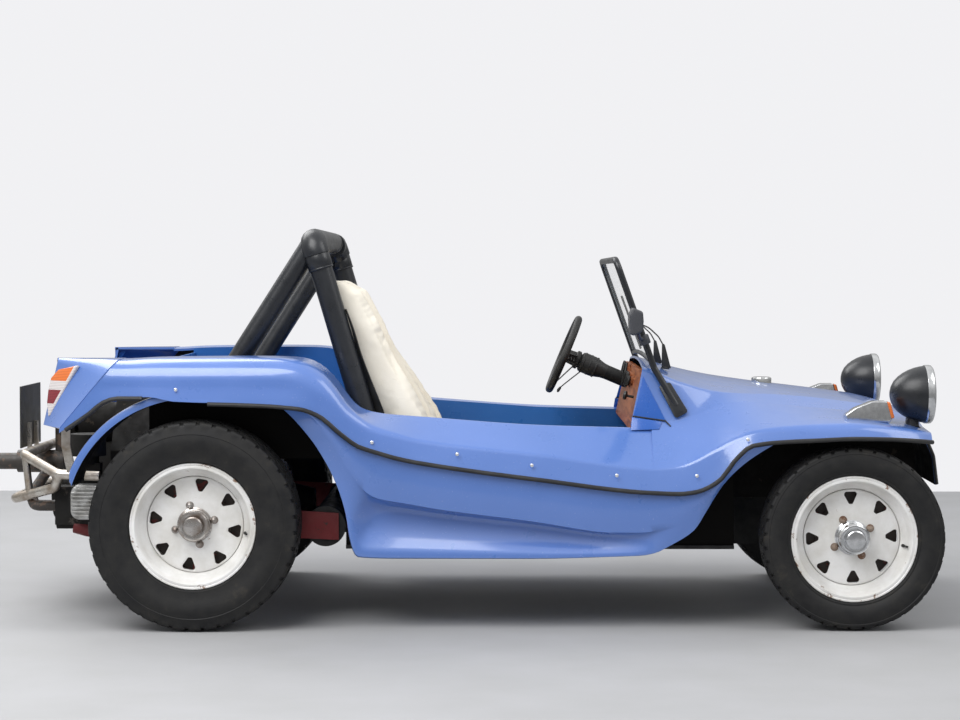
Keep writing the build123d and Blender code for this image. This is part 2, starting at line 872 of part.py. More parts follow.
dash_outline = [
    (-dash_half_width, 642),
    (dash_half_width, 642),
    (dash_half_width, 690),
    (dash_half_width - 28, 838),
    (28 - dash_half_width, 838),
    (-dash_half_width, 690),
]
dash = prism([(dash_x(z), y, z) for y, z in dash_outline], (dash_thickness, 0, 0))
gauges = ((-80, 800, 42), (80, 800, 42), (-230, 790, 26), (-310, 790, 26), (-410, 790, 16))
for offset_y, z, radius in gauges:
    y = steering_wheel_centre.Y + offset_y
    dash += rod((dash_x(z) + 4, y, z), (dash_x(z) - 8, y, z), radius)
dash -= rod(on_column(180), on_column(380), column_radius + fit_gap)
save("dash", dash)

# Steering column and steering wheel

shaft_radius = 10.0
column = rod(on_column(48), on_column(380), column_radius)
column -= rod(on_column(40), on_column(110), shaft_radius + bearing_gap)
save("steering_column", column)

wheel_plane = Plane(steering_wheel_centre, x_dir=(0, 1, 0), z_dir=(-axis_x, 0, -axis_z))
steering_wheel = Torus(steering_rim_radius, steering_rim_tube)
steering_wheel += Pos(0, 0, -16) * Cylinder(32, 44)
steering_wheel += Pos(0, 0, -70) * Cylinder(shaft_radius, 70)
for angle in (0, 180, 270):
    spoke = Pos(steering_rim_radius / 2, 0, 0) * Box(steering_rim_radius, 26, 5)
    steering_wheel += Rot(0, 0, angle) * spoke
save("steering_wheel", wheel_plane.location * steering_wheel)

# Gear lever and hand brake on the tunnel

lever_x = from_rear(997)
lever_z = tunnel_top_z + fit_gap
controls = rod((lever_x, 0, lever_z), (lever_x, 0, lever_z + 14), 32)
controls += rod((lever_x, 0, lever_z + 10), (lever_x - 50, 0, 640), 8)
controls += Pos(lever_x - 50, 0, 650) * Sphere(22)
brake_lever = block(from_rear(767), from_rear(887), -14, 14, lever_z, lever_z + 40)
brake_lever += rod((from_rear(867), 0, lever_z + 28), (from_rear(637), 0, lever_z + 90), 12)
save("hand_levers", controls, brake_lever)

# Roll bar with rear stays

roll_tube = 38.0
hoop_half_width = side_plane - 52.0
hoop_lean = -0.2957
hoop_top_z = overall_height - roll_tube


def hoop_x(z):
    return from_rear(515) + (z - 802) * hoop_lean


foot_top_z = floor_z + 10
hoop_path = []
for y, z in ((-1, foot_top_z), (-1, hoop_top_z), (1, hoop_top_z), (1, foot_top_z)):
    hoop_path.append((hoop_x(z), y * hoop_half_width, z))
roll_bar = tube(hoop_path, roll_tube, 95)
foot_x = hoop_x(floor_z)
roll_bar -= block(foot_x - 200, foot_x + 200, -700, 700, 100, floor_z)
stay_y = hoop_half_width - 28.0
stay_top_z = hoop_top_z - 46.0
stay_top_x = hoop_x(stay_top_z) - 34.0
stay_foot_z = well_floor_z + fit_gap
stay_foot_x = well_rear_x + 87.0
stay_run = (stay_top_x - stay_foot_x) / (stay_top_z - stay_foot_z)
for side in (-1, 1):
    foot_y = side * hoop_half_width
    roll_bar += block(foot_x - 60, foot_x + 50, foot_y - 40, foot_y + 40, floor_z, floor_z + 14)
    stay_low_x = stay_foot_x - 20 * stay_run
    rear_stay = rod(
        (stay_top_x, side * stay_y, stay_top_z), (stay_low_x, side * stay_y, stay_foot_z - 20), roll_tube - 2
    )
    rear_stay -= block(
        stay_foot_x - 200, stay_foot_x + 200, side * (stay_y - 100), side * (stay_y + 100), 400, stay_foot_z
    )
    roll_bar += rear_stay
    roll_bar += block(
        stay_foot_x - 70,
        stay_foot_x + 70,
        side * stay_y - 50,
        side * stay_y + 50,
        stay_foot_z,
        stay_foot_z + 8,
    )
save("roll_bar", roll_bar)

# Seats; x is measured from the rear axle, rise is the share of the seat's height

seat_base_z = 300.0
seat_top_z = hoop_top_z - 127.0
seat_outer_y = side_plane - 95.0
seat_half_width = (seat_outer_y - tunnel_half_width) / 2
seat_y = seat_outer_y - seat_half_width
wing_width = 55.0
seat_core = (
    (1137, 0),
    (1157, 0.11),
    (1127, 0.134),
    (767, 0.1),
    (662, 0.465),
    (577, 0.756),
    (487, 0.953),
    (417, 0.953),
    (487, 0.756),
    (577, 0.465),
    (652, 0.14),
    (677, 0),
)
seat_wing = (
    (677, 0),
    (1142, 0),
    (1162, 0.145),
    (947, 0.18),
    (817, 0.349),
    (763, 0.45),
    (639, 0.68),
    (593, 0.813),
    (529, 0.953),
    (470, 1),
    (402, 0.977),
    (487, 0.756),
    (577, 0.465),
    (652, 0.14),
)


def seat_slab(outline, y, width):
    height = seat_top_z - seat_base_z
    points = [(from_rear(x), y, seat_base_z + rise * height) for x, rise in outline]
    return prism(points, (0, width, 0))


def seat(centre_y):
    low = centre_y - seat_half_width
    high = centre_y + seat_half_width
    body = seat_slab(seat_core, low, 2 * seat_half_width)
    body += seat_slab(seat_wing, low, wing_width)
    body += seat_slab(seat_wing, high - wing_width, wing_width)
    body += block(from_rear(707), from_rear(1117), low + 45, high - 45, floor_z, seat_base_z + 5)
    return body


save("seats", seat(-seat_y), seat(seat_y))

# Windscreen frame, glass and wipers

post_y = body_half_width - 236.0
post_radius = 11.0
screen_low_z = 856.0
screen_top_z = 1218.0
screen_rake = -0.3547


def screen_x(z):
    return from_front(-644) + (z - 849) * screen_rake


def cowl_side_y(z):
    return body_half_width - 196 - (z - 675) * 51 / 177


post_foot = (from_front(-573), -cowl_side_y(732), 732)
frame_path = [post_foot, (screen_x(screen_low_z), -post_y, screen_low_z)]
frame_path += [(screen_x(screen_top_z), -post_y, screen_top_z)]
frame_path += [(x, -y, z) for x, y, z in reversed(frame_path)]
line = [Vector(*p) for p in frame_path]
frame_wire = Wire(rounded_edges(line, [40, 55, 55, 40]))
frame_profile = Plane(line[0], z_dir=line[1] - line[0]) * Circle(post_radius)
screen_frame = sweep(frame_profile, path=frame_wire)
rail_start = Vector(screen_x(872), -post_y, 872)
rail_middle = Vector(screen_x(888), 0, 888)
rail_end = Vector(screen_x(872), post_y, 872)
rail_wire = Wire([Edge.make_three_point_arc(rail_start, rail_middle, rail_end)])
rail_profile = Plane(rail_start, z_dir=rail_wire.edges()[0] % 0) * Circle(8)
screen_frame += sweep(rail_profile, path=rail_wire)
bracket_outline = ((-633, 798), (-593, 809), (-534, 712), (-577, 689))
for side in (-1, 1):
    points = [(from_front(x), side * (cowl_side_y(z) + 8), z) for x, z in bracket_outline]
    screen_frame += prism(points, (0, -18 * side, 0))
save("screen_frame", screen_frame)

glass_half_width = post_y - post_radius - 0.5
glass_low_z = 882.0
glass_mid_z = 897.2
glass_top_z = screen_top_z - post_radius - 0.8
glass_thickness = 5.0
corner_cut = 42.0
glass_corners = [
    (-glass_half_width, glass_low_z),
    (-glass_half_width, glass_top_z - corner_cut),
    (-glass_half_width + corner_cut, glass_top_z),
    (glass_half_width - corner_cut, glass_top_z),
    (glass_half_width, glass_top_z - corner_cut),
    (glass_half_width, glass_low_z),
]
glass_points = [Vector(screen_x(z), y, z) for y, z in glass_corners]
glass_edges = [Edge.make_line(a, b) for a, b in zip(glass_points, glass_points[1:])]
glass_bottom = Vector(screen_x(glass_mid_z), 0, glass_mid_z)
glass_edges.append(Edge.make_three_point_arc(glass_points[-1], glass_bottom, glass_points[0]))
screen_normal = Vector(1, 0, -screen_rake).normalized()
glass_face = Face(Wire(glass_edges)).translate(screen_normal * (-glass_thickness / 2))
glass = Solid.extrude(glass_face, screen_normal * glass_thickness)
save("screen_glass", glass)

wiper_foot_x = from_front(-600)
wiper_rise_z = 915.0
wiper_ahead = 16.0
wiper_reach = 150.0


def before_glass(y, z):
    return (screen_x(z) + wiper_ahead, y, z)


wipers = []
for y in (-330, 110):
    wiper = rod((wiper_foot_x, y, 838), (wiper_foot_x, y, 876), 11)
    arm_top = (screen_x(wiper_rise_z) + wiper_ahead + 8, y + wiper_reach * 0.4, wiper_rise_z)
    wiper += rod((wiper_foot_x, y, 870), arm_top, 5)
    wiper += rod(arm_top, before_glass(y + wiper_reach, wiper_rise_z + 90), 5)
    blade_start = before_glass(y + wiper_reach - 160, wiper_rise_z - 10)
    blade_end = before_glass(y + wiper_reach + 130, wiper_rise_z + 180)
    wiper += rod(blade_start, blade_end, 6)
    wipers.append(wiper)
save("wipers", *wipers)

# Mirror clamped to the right screen post

mirror_z = 1012.0
mirror_arm_z = 985.0
mirror_x = screen_x(mirror_z) - 12
side_mirror = block(mirror_x - 24, mirror_x + 24, -post_y - 36, -post_y - 164, mirror_z - 50, mirror_z + 50)
side_mirror = fillet(side_mirror.edges().filter_by(Axis.X), 22)
arm_x = screen_x(mirror_arm_z)
side_mirror += rod((arm_x, -post_y, mirror_arm_z), (arm_x - 8, -post_y - 84, mirror_arm_z), 8)
clamp_radius = post_radius + 6
side_mirror += rod((screen_x(970), -post_y, 970), (screen_x(1000), -post_y, 1000), clamp_radius)
side_mirror -= block(arm_x - 60, arm_x + 60, -post_y + post_radius, -post_y + 60, 900, 1100)
post_bore = post_radius + fit_gap
side_mirror -= rod((screen_x(900), -post_y, 900), (screen_x(1100), -post_y, 1100), post_bore)
save("side_mirror", side_mirror)

# Headlamps

lamp_x = nose_x - 102.0
lamp_y = body_half_width - 232.0
lamp_z = 769.0
bowl_end = 50.0
lamp_axis = Axis((0, lamp_y, lamp_z), (1, 0, 0))


def lamp_turned(profile):
    return turned([(lamp_x + x, lamp_y, lamp_z + r) for x, r in profile], lamp_axis)


bowl_profile = ((-75, 0), (-74, 22), (-62, 50), (-38, 74), (-4, 88), (30, 94), (bowl_end, 95), (bowl_end, 0))
bowl = lamp_turned(bowl_profile)
bowl += rod((lamp_x, lamp_y, 650), (lamp_x, lamp_y, 690), 26)
save("headlamp_bowls", mirrored(bowl), bowl)

rim_start = bowl_end + fit_gap
rim_profile = ((rim_start, 79), (rim_start, 98), (58, 98), (65, 92), (65, 79))
lamp_rim = lamp_turned(rim_profile)
save("headlamp_rims", mirrored(lamp_rim), lamp_rim)

lens_profile = ((rim_start, 0), (rim_start, 78.7), (56, 78.7), (64, 60), (69, 32), (70, 0))
lens = lamp_turned(lens_profile)
save("headlamp_lenses", mirrored(lens), lens)

# Front indicators and fuel cap

indicator_y = body_half_width - 172.0
indicator_half_width = 28.0
base_outline = ((-333, 678), (-193, 678), (-183, 742), (-215, 752), (-295, 722))
indicator = prism(
    [(nose_x + x, indicator_y - indicator_half_width, z) for x, z in base_outline],
    (0, 2 * indicator_half_width, 0),
)
save("indicator_bases", mirrored(indicator), indicator)

cap_x = from_front(-226)
fuel_cap = rod((cap_x, 0, 772), (cap_x, 0, 803), 39)
save("fuel_cap", fuel_cap)

# Wheels and tyres, built about the y axis with the outer side at +y

window_outline = ((-26, 13), (26, 13), (9, 49), (-9, 49))


def road_wheel(width, disc_y, drum_inner_y, bore_radius, bore_end_y):
    half = width / 2
    outer = [
        (-half - 6, flange_radius),
        (-half, flange_radius),
        (-half, bead_radius),
        (-half + 25, bead_radius),
        (-half + 45, well_radius),
        (half - 55, well_radius),
        (half - 35, bead_radius),
        (half, bead_radius),
        (half, flange_radius),
        (half + 6, flange_radius),
    ]
    inner = [
        (half + 6, flange_radius - rim_sheet),
        (half + 5, bead_radius - rim_sheet),
        (half - 37, bead_radius - rim_sheet),
        (half - 57, well_radius - rim_sheet),
        (-half + 47, well_radius - rim_sheet),
        (-half + 27, bead_radius - rim_sheet),
        (-half - 5, bead_radius - rim_sheet),
        (-half - 6, flange_radius - rim_sheet),
    ]
    barrel = turned([(0, y, r) for y, r in outer + inner], Axis.Y)
    disc_profile = [
        (disc_y, well_radius - 3),
        (disc_y + 6, well_radius - 3),
        (disc_y + 20, 74),
        (disc_y + 20, 30),
        (disc_y + 12, 30),
        (disc_y + 12, 74),
    ]
    disc = turned([(0, y, r) for y, r in disc_profile], Axis.Y)
    window = prism(
        [(x, disc_y - 20, well_radius - depth) for x, depth in window_outline],
        (0, 60, 0),
    )
    window = fillet(window.edges().filter_by(Axis.Y), 7)
    for i in range(window_count):
        disc -= Rot(0, 360 / window_count * i, 0) * window
    wheel = barrel + disc
    wheel += rod((0, drum_inner_y, 0), (0, disc_y - 10, 0), drum_radius)
    wheel += rod((0, disc_y - 12, 0), (0, disc_y + 16, 0), 82)
    wheel += rod((0, disc_y, 0), (0, disc_y + 44, 0), hub_radius)
    wheel += rod((0, disc_y + 40, 0), (0, disc_y + 62, 0), 30)
    wheel -= rod((0, drum_inner_y - 5, 0), (0, bore_end_y, 0), bore_radius)
    return wheel


def road_tyre(radius, width, rim_width, middle_radius):
    bead_y = rim_width / 2 - fit_gap
    side_y = width / 2
    tread_y = width * 0.42
    bead_r = bead_radius + 0.4
    right = [Vector(0, bead_y, bead_r), Vector(0, bead_y, flange_radius + 2)]
    shoulder = Vector(0, tread_y, radius - 5)
    left = [Vector(0, -p.Y, p.Z) for p in right]
    far_shoulder = Vector(0, -tread_y, radius - 5)
    edges = [
        Edge.make_line(left[0], right[0]),
        Edge.make_line(right[0], right[1]),
        Edge.make_three_point_arc(right[1], Vector(0, side_y, middle_radius), shoulder),
        Edge.make_three_point_arc(shoulder, Vector(0, 0, radius), far_shoulder),
        Edge.make_three_point_arc(far_shoulder, Vector(0, -side_y, middle_radius), left[1]),
        Edge.make_line(left[1], left[0]),
    ]
    return revolve(Face(Wire(edges)), Axis.Y)


front_wheel = road_wheel(
    front_rim_width,
    5,
    kingpin_y + 40 - front_wheel_y,
    stub_radius + bearing_gap,
    front_stub_end_y - front_wheel_y + 2,
)
rear_wheel = road_wheel(
    rear_rim_width, 18, rear_plate_y + 6 - rear_wheel_y, rear_stub_radius + bearing_gap, 22
)
front_tyre = road_tyre(front_tyre_radius, front_tyre_width, front_rim_width, bead_radius + 66)
rear_tyre = road_tyre(rear_tyre_radius, rear_tyre_width, rear_rim_width, bead_radius + 88)
front_place = Pos(front_axle_x, front_wheel_y, front_hub_z)
rear_place = Pos(rear_axle_x, rear_wheel_y, rear_hub_z)
for name, place, shape in (
    ("front_wheel", front_place, front_wheel),
    ("front_tyre", front_place, front_tyre),
    ("rear_wheel", rear_place, rear_wheel),
    ("rear_tyre", rear_place, rear_tyre),
):
    save(f"{name}_left", place * shape)
    save(f"{name}_right", mirrored(place * shape))
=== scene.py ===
import bpy
from math import atan2, cos, degrees, hypot, pi, radians, sin, tan
from mathutils import Matrix, Vector


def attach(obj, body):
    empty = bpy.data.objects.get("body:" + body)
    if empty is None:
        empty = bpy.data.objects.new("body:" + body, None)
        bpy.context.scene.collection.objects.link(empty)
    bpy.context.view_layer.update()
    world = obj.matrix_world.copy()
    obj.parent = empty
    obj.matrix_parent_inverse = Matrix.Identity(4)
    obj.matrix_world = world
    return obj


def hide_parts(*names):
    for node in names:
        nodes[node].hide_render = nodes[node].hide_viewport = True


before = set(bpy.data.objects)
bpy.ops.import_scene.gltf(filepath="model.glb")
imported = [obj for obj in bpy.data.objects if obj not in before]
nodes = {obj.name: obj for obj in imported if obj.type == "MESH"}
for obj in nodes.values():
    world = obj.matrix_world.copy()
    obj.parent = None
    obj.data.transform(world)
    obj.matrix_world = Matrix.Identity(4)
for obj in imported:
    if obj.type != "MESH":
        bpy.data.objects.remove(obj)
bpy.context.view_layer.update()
scene = bpy.context.scene
scene.view_settings.view_transform = "Standard"
mm = 0.001

# Camera at the photograph's place, level with the screen, to the right of the car
eye = Vector((0.193, -8.25, 1.167))
picture_width = 960
sensor_width = 36.0
focal_pixels = 2300.6
aim_left = 25.0
aim_below = 85.0
line_of_sight = Vector((-aim_left / focal_pixels, 1.0, -aim_below / focal_pixels))
bpy.ops.object.camera_add(location=eye)
camera = bpy.context.object
camera.rotation_euler = line_of_sight.to_track_quat("-Z", "Y").to_euler()
camera.data.sensor_width = sensor_width
camera.data.lens = sensor_width * focal_pixels / picture_width
scene.camera = camera

# Main places, in millimetres
front_axle_x = 1338.0
rear_axle_x = -827.0
front_hub_z = 302.0
rear_hub_z = 346.0
side_plane = 560.0
half_width = 792.0
wall = 8.0
steering_centre = Vector((413, 350, 871))
steering_tilt = radians(22.8)
steering_axis = Vector((cos(steering_tilt), 0, -sin(steering_tilt)))


# Finish helpers

def new_finish(name, colour, roughness, metallic=0.0):
    finish = bpy.data.materials.new(name)
    finish.use_nodes = True
    finish.diffuse_color = (*colour, 1)
    tree = finish.node_tree
    surface = tree.nodes["Principled BSDF"]
    surface.inputs["Base Color"].default_value = (*colour, 1)
    surface.inputs["Roughness"].default_value = roughness
    surface.inputs["Metallic"].default_value = metallic
    return finish, tree, surface


def object_place(tree, centre=(0, 0, 0), stretch=(1, 1, 1)):
    coordinates = tree.nodes.new("ShaderNodeTexCoord")
    mapping = tree.nodes.new("ShaderNodeMapping")
    mapping.vector_type = "TEXTURE"
    mapping.inputs["Location"].default_value = centre
    mapping.inputs["Scale"].default_value = stretch
    tree.links.new(coordinates.outputs["Object"], mapping.inputs["Vector"])
    return mapping.outputs["Vector"]


def noise(tree, place, scale, detail=4.0, roughness=0.55, distortion=0.0):
    pattern = tree.nodes.new("ShaderNodeTexNoise")
    pattern.inputs["Scale"].default_value = scale
    pattern.inputs["Detail"].default_value = detail
    pattern.inputs["Roughness"].default_value = roughness
    pattern.inputs["Distortion"].default_value = distortion
    tree.links.new(place, pattern.inputs["Vector"])
    return pattern.outputs["Fac"]


def ramp(tree, value, *stops):
    made = tree.nodes.new("ShaderNodeValToRGB")
    elements = made.color_ramp.elements
    while len(elements) < len(stops):
        elements.new(0.5)
    for element, (position, colour) in zip(elements, stops):
        element.position = position
        element.color = (*colour, 1) if isinstance(colour, tuple) else (colour, colour, colour, 1)
    tree.links.new(value, made.inputs["Fac"])
    return made.outputs["Color"]


def feed(tree, socket, value):
    if isinstance(value, bpy.types.NodeSocket):
        tree.links.new(value, socket)
    elif isinstance(value, tuple):
        socket.default_value = (*value, 1)
    else:
        socket.default_value = value


def mixed(tree, factor, first, second):
    made = tree.nodes.new("ShaderNodeMix")
    made.data_type = "RGBA"
    for value, socket in ((factor, 0), (first, 6), (second, 7)):
        feed(tree, made.inputs[socket], value)
    return made.outputs[2]


def sums(tree, operation, first, second=0.0):
    made = tree.nodes.new("ShaderNodeMath")
    made.operation = operation
    feed(tree, made.inputs[0], first)
    feed(tree, made.inputs[1], second)
    return made.outputs[0]


def span(tree, value, low, high, low_result=0.0, high_result=1.0):
    made = tree.nodes.new("ShaderNodeMapRange")
    for name, number in (
        ("From Min", low), ("From Max", high), ("To Min", low_result), ("To Max", high_result)
    ):
        made.inputs[name].default_value = number
    tree.links.new(value, made.inputs["Value"])
    return made.outputs["Result"]


def relief(tree, surface, height, strength, distance):
    bump = tree.nodes.new("ShaderNodeBump")
    bump.inputs["Strength"].default_value = strength
    bump.inputs["Distance"].default_value = distance
    tree.links.new(height, bump.inputs["Height"])
    tree.links.new(bump.outputs["Normal"], surface.inputs["Normal"])


def varnish(surface, weight, roughness=0.06, ior=1.5):
    surface.inputs["Coat Weight"].default_value = weight
    surface.inputs["Coat Roughness"].default_value = roughness
    surface.inputs["Coat IOR"].default_value = ior


# Finishes

def gel_coat(name, deep, pale, coat=0.7):
    finish, tree, surface = new_finish(name, deep, 0.3)
    place = object_place(tree)
    cloud = noise(tree, place, 2.2, 3.0)
    colour = ramp(tree, cloud, (0.3, deep), (0.7, pale))
    dust = noise(tree, place, 210.0, 2.0)
    specks = ramp(tree, dust, (0.7, 0.0), (0.74, 0.3))
    feed(tree, surface.inputs["Base Color"], mixed(tree, specks, colour, (0.55, 0.62, 0.78)))
    haze = noise(tree, place, 9.0, 5.0)
    feed(tree, surface.inputs["Roughness"], span(tree, haze, 0.25, 0.75, 0.22, 0.42))
    relief(tree, surface, noise(tree, place, 38.0, 2.0), 0.05, 0.002)
    varnish(surface, coat, 0.09, 1.6)
    return finish


def tub_finish():
    # Blue inside the car; near black with its sheen turned down where the tub's wall faces the wheels, as
    # painted shade in the wells
    finish = gel_coat("tub blue and well shade", (0.02, 0.11, 0.36), (0.028, 0.135, 0.42), 0.0)
    tree = finish.node_tree
    surface = tree.nodes["Principled BSDF"]
    place = tree.nodes.new("ShaderNodeSeparateXYZ")
    tree.links.new(object_place(tree), place.inputs["Vector"])
    across = sums(tree, "ABSOLUTE", place.outputs["Y"])
    outer = sums(tree, "GREATER_THAN", across, tub_outer_y * mm)
    inside = surface.inputs["Base Color"].links[0].from_socket
    feed(tree, surface.inputs["Base Color"], mixed(tree, outer, inside, (0.006, 0.0055, 0.005)))
    feed(tree, surface.inputs["Specular IOR Level"], span(tree, outer, 0.0, 1.0, 0.4, 0.04))
    return finish


def worn_paint(name, colour, bare, roughness, wear, scale=26.0, shine=0.5):
    finish, tree, surface = new_finish(name, colour, roughness)
    surface.inputs["Specular IOR Level"].default_value = shine
    place = object_place(tree)
    patch = noise(tree, place, scale, 6.0, 0.65)
    worn = ramp(tree, patch, (wear, 0.0), (wear + 0.05, 1.0))
    cloud = noise(tree, place, scale / 6, 3.0)
    dark = tuple(0.65 * part for part in colour)
    body = ramp(tree, cloud, (0.35, dark), (0.65, colour))
    feed(tree, surface.inputs["Base Color"], mixed(tree, worn, body, bare))
    rough = span(tree, patch, 0.3, 0.8, roughness * 0.8, min(1.0, roughness * 1.7))
    feed(tree, surface.inputs["Roughness"], rough)
    relief(tree, surface, noise(tree, place, scale * 9, 3.0), 0.12, 0.0012)
    return finish


def bare_metal(name, pale, dull, roughness, scale=40.0, bump=0.05):
    finish, tree, surface = new_finish(name, pale, roughness, 1.0)
    place = object_place(tree)
    stain = noise(tree, place, scale, 6.0, 0.6)
    feed(tree, surface.inputs["Base Color"], ramp(tree, stain, (0.32, dull), (0.62, pale)))
    rough = span(tree, stain, 0.3, 0.7, min(1.0, roughness * 1.8), roughness * 0.7)
    feed(tree, surface.inputs["Roughness"], rough)
    relief(tree, surface, noise(tree, place, scale * 4, 3.0), bump, 0.001)
    return finish


def moulded(name, colour, roughness, grain=600.0, dusty=0.12):
    finish, tree, surface = new_finish(name, colour, roughness)
    place = object_place(tree)
    settled = noise(tree, place, 14.0, 5.0, 0.6)
    film = ramp(tree, settled, (0.45, 0.0), (0.8, dusty))
    feed(tree, surface.inputs["Base Color"], mixed(tree, film, colour, (0.2, 0.19, 0.17)))
    rough = span(tree, settled, 0.3, 0.75, roughness * 0.8, roughness * 1.35)
    feed(tree, surface.inputs["Roughness"], rough)
    relief(tree, surface, noise(tree, place, grain, 2.0), 0.1, 0.0006)
    return finish


def lamp_plastic(name, colour):
    finish, tree, surface = new_finish(name, colour, 0.16)
    place = object_place(tree)
    ribs = tree.nodes.new("ShaderNodeTexWave")
    ribs.bands_direction = "Z"
    ribs.inputs["Scale"].default_value = 60.0
    tree.links.new(place, ribs.inputs["Vector"])
    dark = tuple(0.7 * part for part in colour)
    tone = ramp(tree, ribs.outputs["Fac"], (0.2, dark), (0.8, colour))
    feed(tree, surface.inputs["Base Color"], tone)
    relief(tree, surface, ribs.outputs["Fac"], 0.25, 0.001)
    varnish(surface, 0.8, 0.04)
    return finish


def clear_glass(name, tint, alpha):
    finish, tree, surface = new_finish(name, tint, 0.03)
    smear = noise(tree, object_place(tree), 7.0, 5.0, 0.6)
    feed(tree, surface.inputs["Roughness"], span(tree, smear, 0.3, 0.8, 0.01, 0.1))
    feed(tree, surface.inputs["Base Color"], ramp(tree, smear, (0.3, tint), (0.9, (0.7, 0.72, 0.7))))
    surface.inputs["Alpha"].default_value = alpha
    return finish


def tyre_rubber():
    finish, tree, surface = new_finish("tyre rubber", (0.014, 0.014, 0.014), 0.62)
    surface.inputs["Specular IOR Level"].default_value = 0.28
    place = object_place(tree)
    scuff = noise(tree, place, 18.0, 6.0, 0.65)
    black = (0.011, 0.011, 0.012)
    brown = (0.05, 0.044, 0.036)
    tone = ramp(tree, scuff, (0.35, black), (0.6, (0.02, 0.0195, 0.019)), (0.82, brown))
    feed(tree, surface.inputs["Base Color"], tone)
    feed(tree, surface.inputs["Roughness"], span(tree, scuff, 0.3, 0.8, 0.45, 0.8))
    relief(tree, surface, noise(tree, place, 260.0, 3.0), 0.2, 0.0008)
    return finish


def wheel_enamel(name, centre, flange_radius=0.2075):
    # White enamel with rust by the flange and the hub, chips all over
    finish, tree, surface = new_finish(name, (0.75, 0.74, 0.7), 0.34)
    axle = tree.nodes.new("ShaderNodeSeparateXYZ")
    tree.links.new(object_place(tree, centre=tuple(centre * mm)), axle.inputs["Vector"])
    squares = [sums(tree, "MULTIPLY", axle.outputs[part], axle.outputs[part]) for part in ("X", "Z")]
    radius = sums(tree, "SQRT", sums(tree, "ADD", *squares))
    patch = noise(tree, object_place(tree), 30.0, 7.0, 0.68)
    specks = noise(tree, object_place(tree), 130.0, 4.0, 0.7)
    grime = noise(tree, object_place(tree), 7.0, 5.0, 0.6)
    at_flange = span(tree, radius, flange_radius - 0.026, flange_radius, 0.0, 0.14)
    at_hub = span(tree, radius, 0.085, 0.05, 0.0, 0.06)
    exposed = sums(tree, "ADD", at_flange, at_hub)
    rusty = ramp(tree, sums(tree, "ADD", patch, exposed), (0.68, 0.0), (0.73, 1.0))
    chips = ramp(tree, sums(tree, "ADD", specks, exposed), (0.76, 0.0), (0.79, 0.8))
    marked = sums(tree, "MAXIMUM", rusty, chips)
    white = ramp(tree, grime, (0.3, (0.66, 0.64, 0.59)), (0.6, (0.86, 0.85, 0.83)))
    rust = ramp(tree, specks, (0.3, (0.09, 0.045, 0.03)), (0.7, (0.42, 0.28, 0.2)))
    feed(tree, surface.inputs["Base Color"], mixed(tree, marked, white, rust))
    feed(tree, surface.inputs["Roughness"], span(tree, marked, 0.0, 1.0, 0.3, 0.75))
    relief(tree, surface, marked, -0.12, 0.001)
    varnish(surface, 0.2, 0.1)
    return finish


def varnished_wood():
    finish, tree, surface = new_finish("varnished wood", (0.2, 0.06, 0.025), 0.4)
    grain = noise(tree, object_place(tree, stretch=(1, 6, 0.6)), 26.0, 6.0, 0.6, 1.4)
    pores = noise(tree, object_place(tree, stretch=(1, 12, 0.4)), 160.0, 3.0)
    dark = (0.09, 0.022, 0.01)
    tone = ramp(tree, grain, (0.3, dark), (0.5, (0.24, 0.075, 0.03)), (0.7, (0.36, 0.14, 0.06)))
    pored = ramp(tree, pores, (0.62, 0.0), (0.8, 0.9))
    feed(tree, surface.inputs["Base Color"], mixed(tree, pored, tone, (0.05, 0.015, 0.008)))
    relief(tree, surface, pores, 0.1, 0.0006)
    surface.inputs["Specular IOR Level"].default_value = 0.12
    return finish


def cream_hide():
    finish, tree, surface = new_finish("cream hide", (0.72, 0.64, 0.5), 0.48)
    place = object_place(tree)
    cells = tree.nodes.new("ShaderNodeTexVoronoi")
    cells.inputs["Scale"].default_value = 420.0
    tree.links.new(place, cells.inputs["Vector"])
    cloud = noise(tree, place, 5.0, 5.0, 0.6)
    creases = noise(tree, object_place(tree, stretch=(1, 0.35, 1)), 30.0, 5.0, 0.6, 1.2)
    tone = ramp(tree, cloud, (0.3, (0.88, 0.81, 0.67)), (0.65, (0.95, 0.89, 0.76)))
    soiled = ramp(tree, creases, (0.66, 0.0), (0.9, 0.8))
    feed(tree, surface.inputs["Base Color"], mixed(tree, soiled, tone, (0.55, 0.47, 0.34)))
    feed(tree, surface.inputs["Roughness"], span(tree, cloud, 0.3, 0.7, 0.4, 0.6))
    height = sums(tree, "ADD", sums(tree, "MULTIPLY", cells.outputs["Distance"], 0.25), creases)
    relief(tree, surface, height, 0.25, 0.003)
    return finish


tub_outer_y = 556.0
blue = gel_coat("blue gel coat", (0.08, 0.178, 0.5), (0.1, 0.205, 0.56), 0.8)
# Darker blue for the cowl's sides and the tail's inner faces: painted shade
shade_blue = gel_coat("shade blue gel coat", (0.012, 0.095, 0.42), (0.018, 0.115, 0.47), 0.2)
tub_blue = tub_finish()
# Near black on the panels' inner and under faces, the wheel wells and engine bay parts: painted shade, with
# a few worn patches
underside_shade = worn_paint("dark underside", (0.008, 0.007, 0.006), (0.035, 0.028, 0.022), 0.7, 0.62, shine=0.2)
frame_black = worn_paint("frame black", (0.018, 0.02, 0.024), (0.05, 0.05, 0.05), 0.28, 0.74)
satin_black = worn_paint("satin black", (0.01, 0.01, 0.01), (0.05, 0.045, 0.04), 0.45, 0.68, shine=0.35)
chassis_black = worn_paint("chassis black", (0.012, 0.012, 0.012), (0.09, 0.065, 0.05), 0.55, 0.66)
red_paint = worn_paint("old red paint", (0.19, 0.016, 0.018), (0.05, 0.03, 0.025), 0.5, 0.62)
rusty_steel = worn_paint("rusty flat steel", (0.34, 0.26, 0.2), (0.16, 0.08, 0.045), 0.55, 0.52)
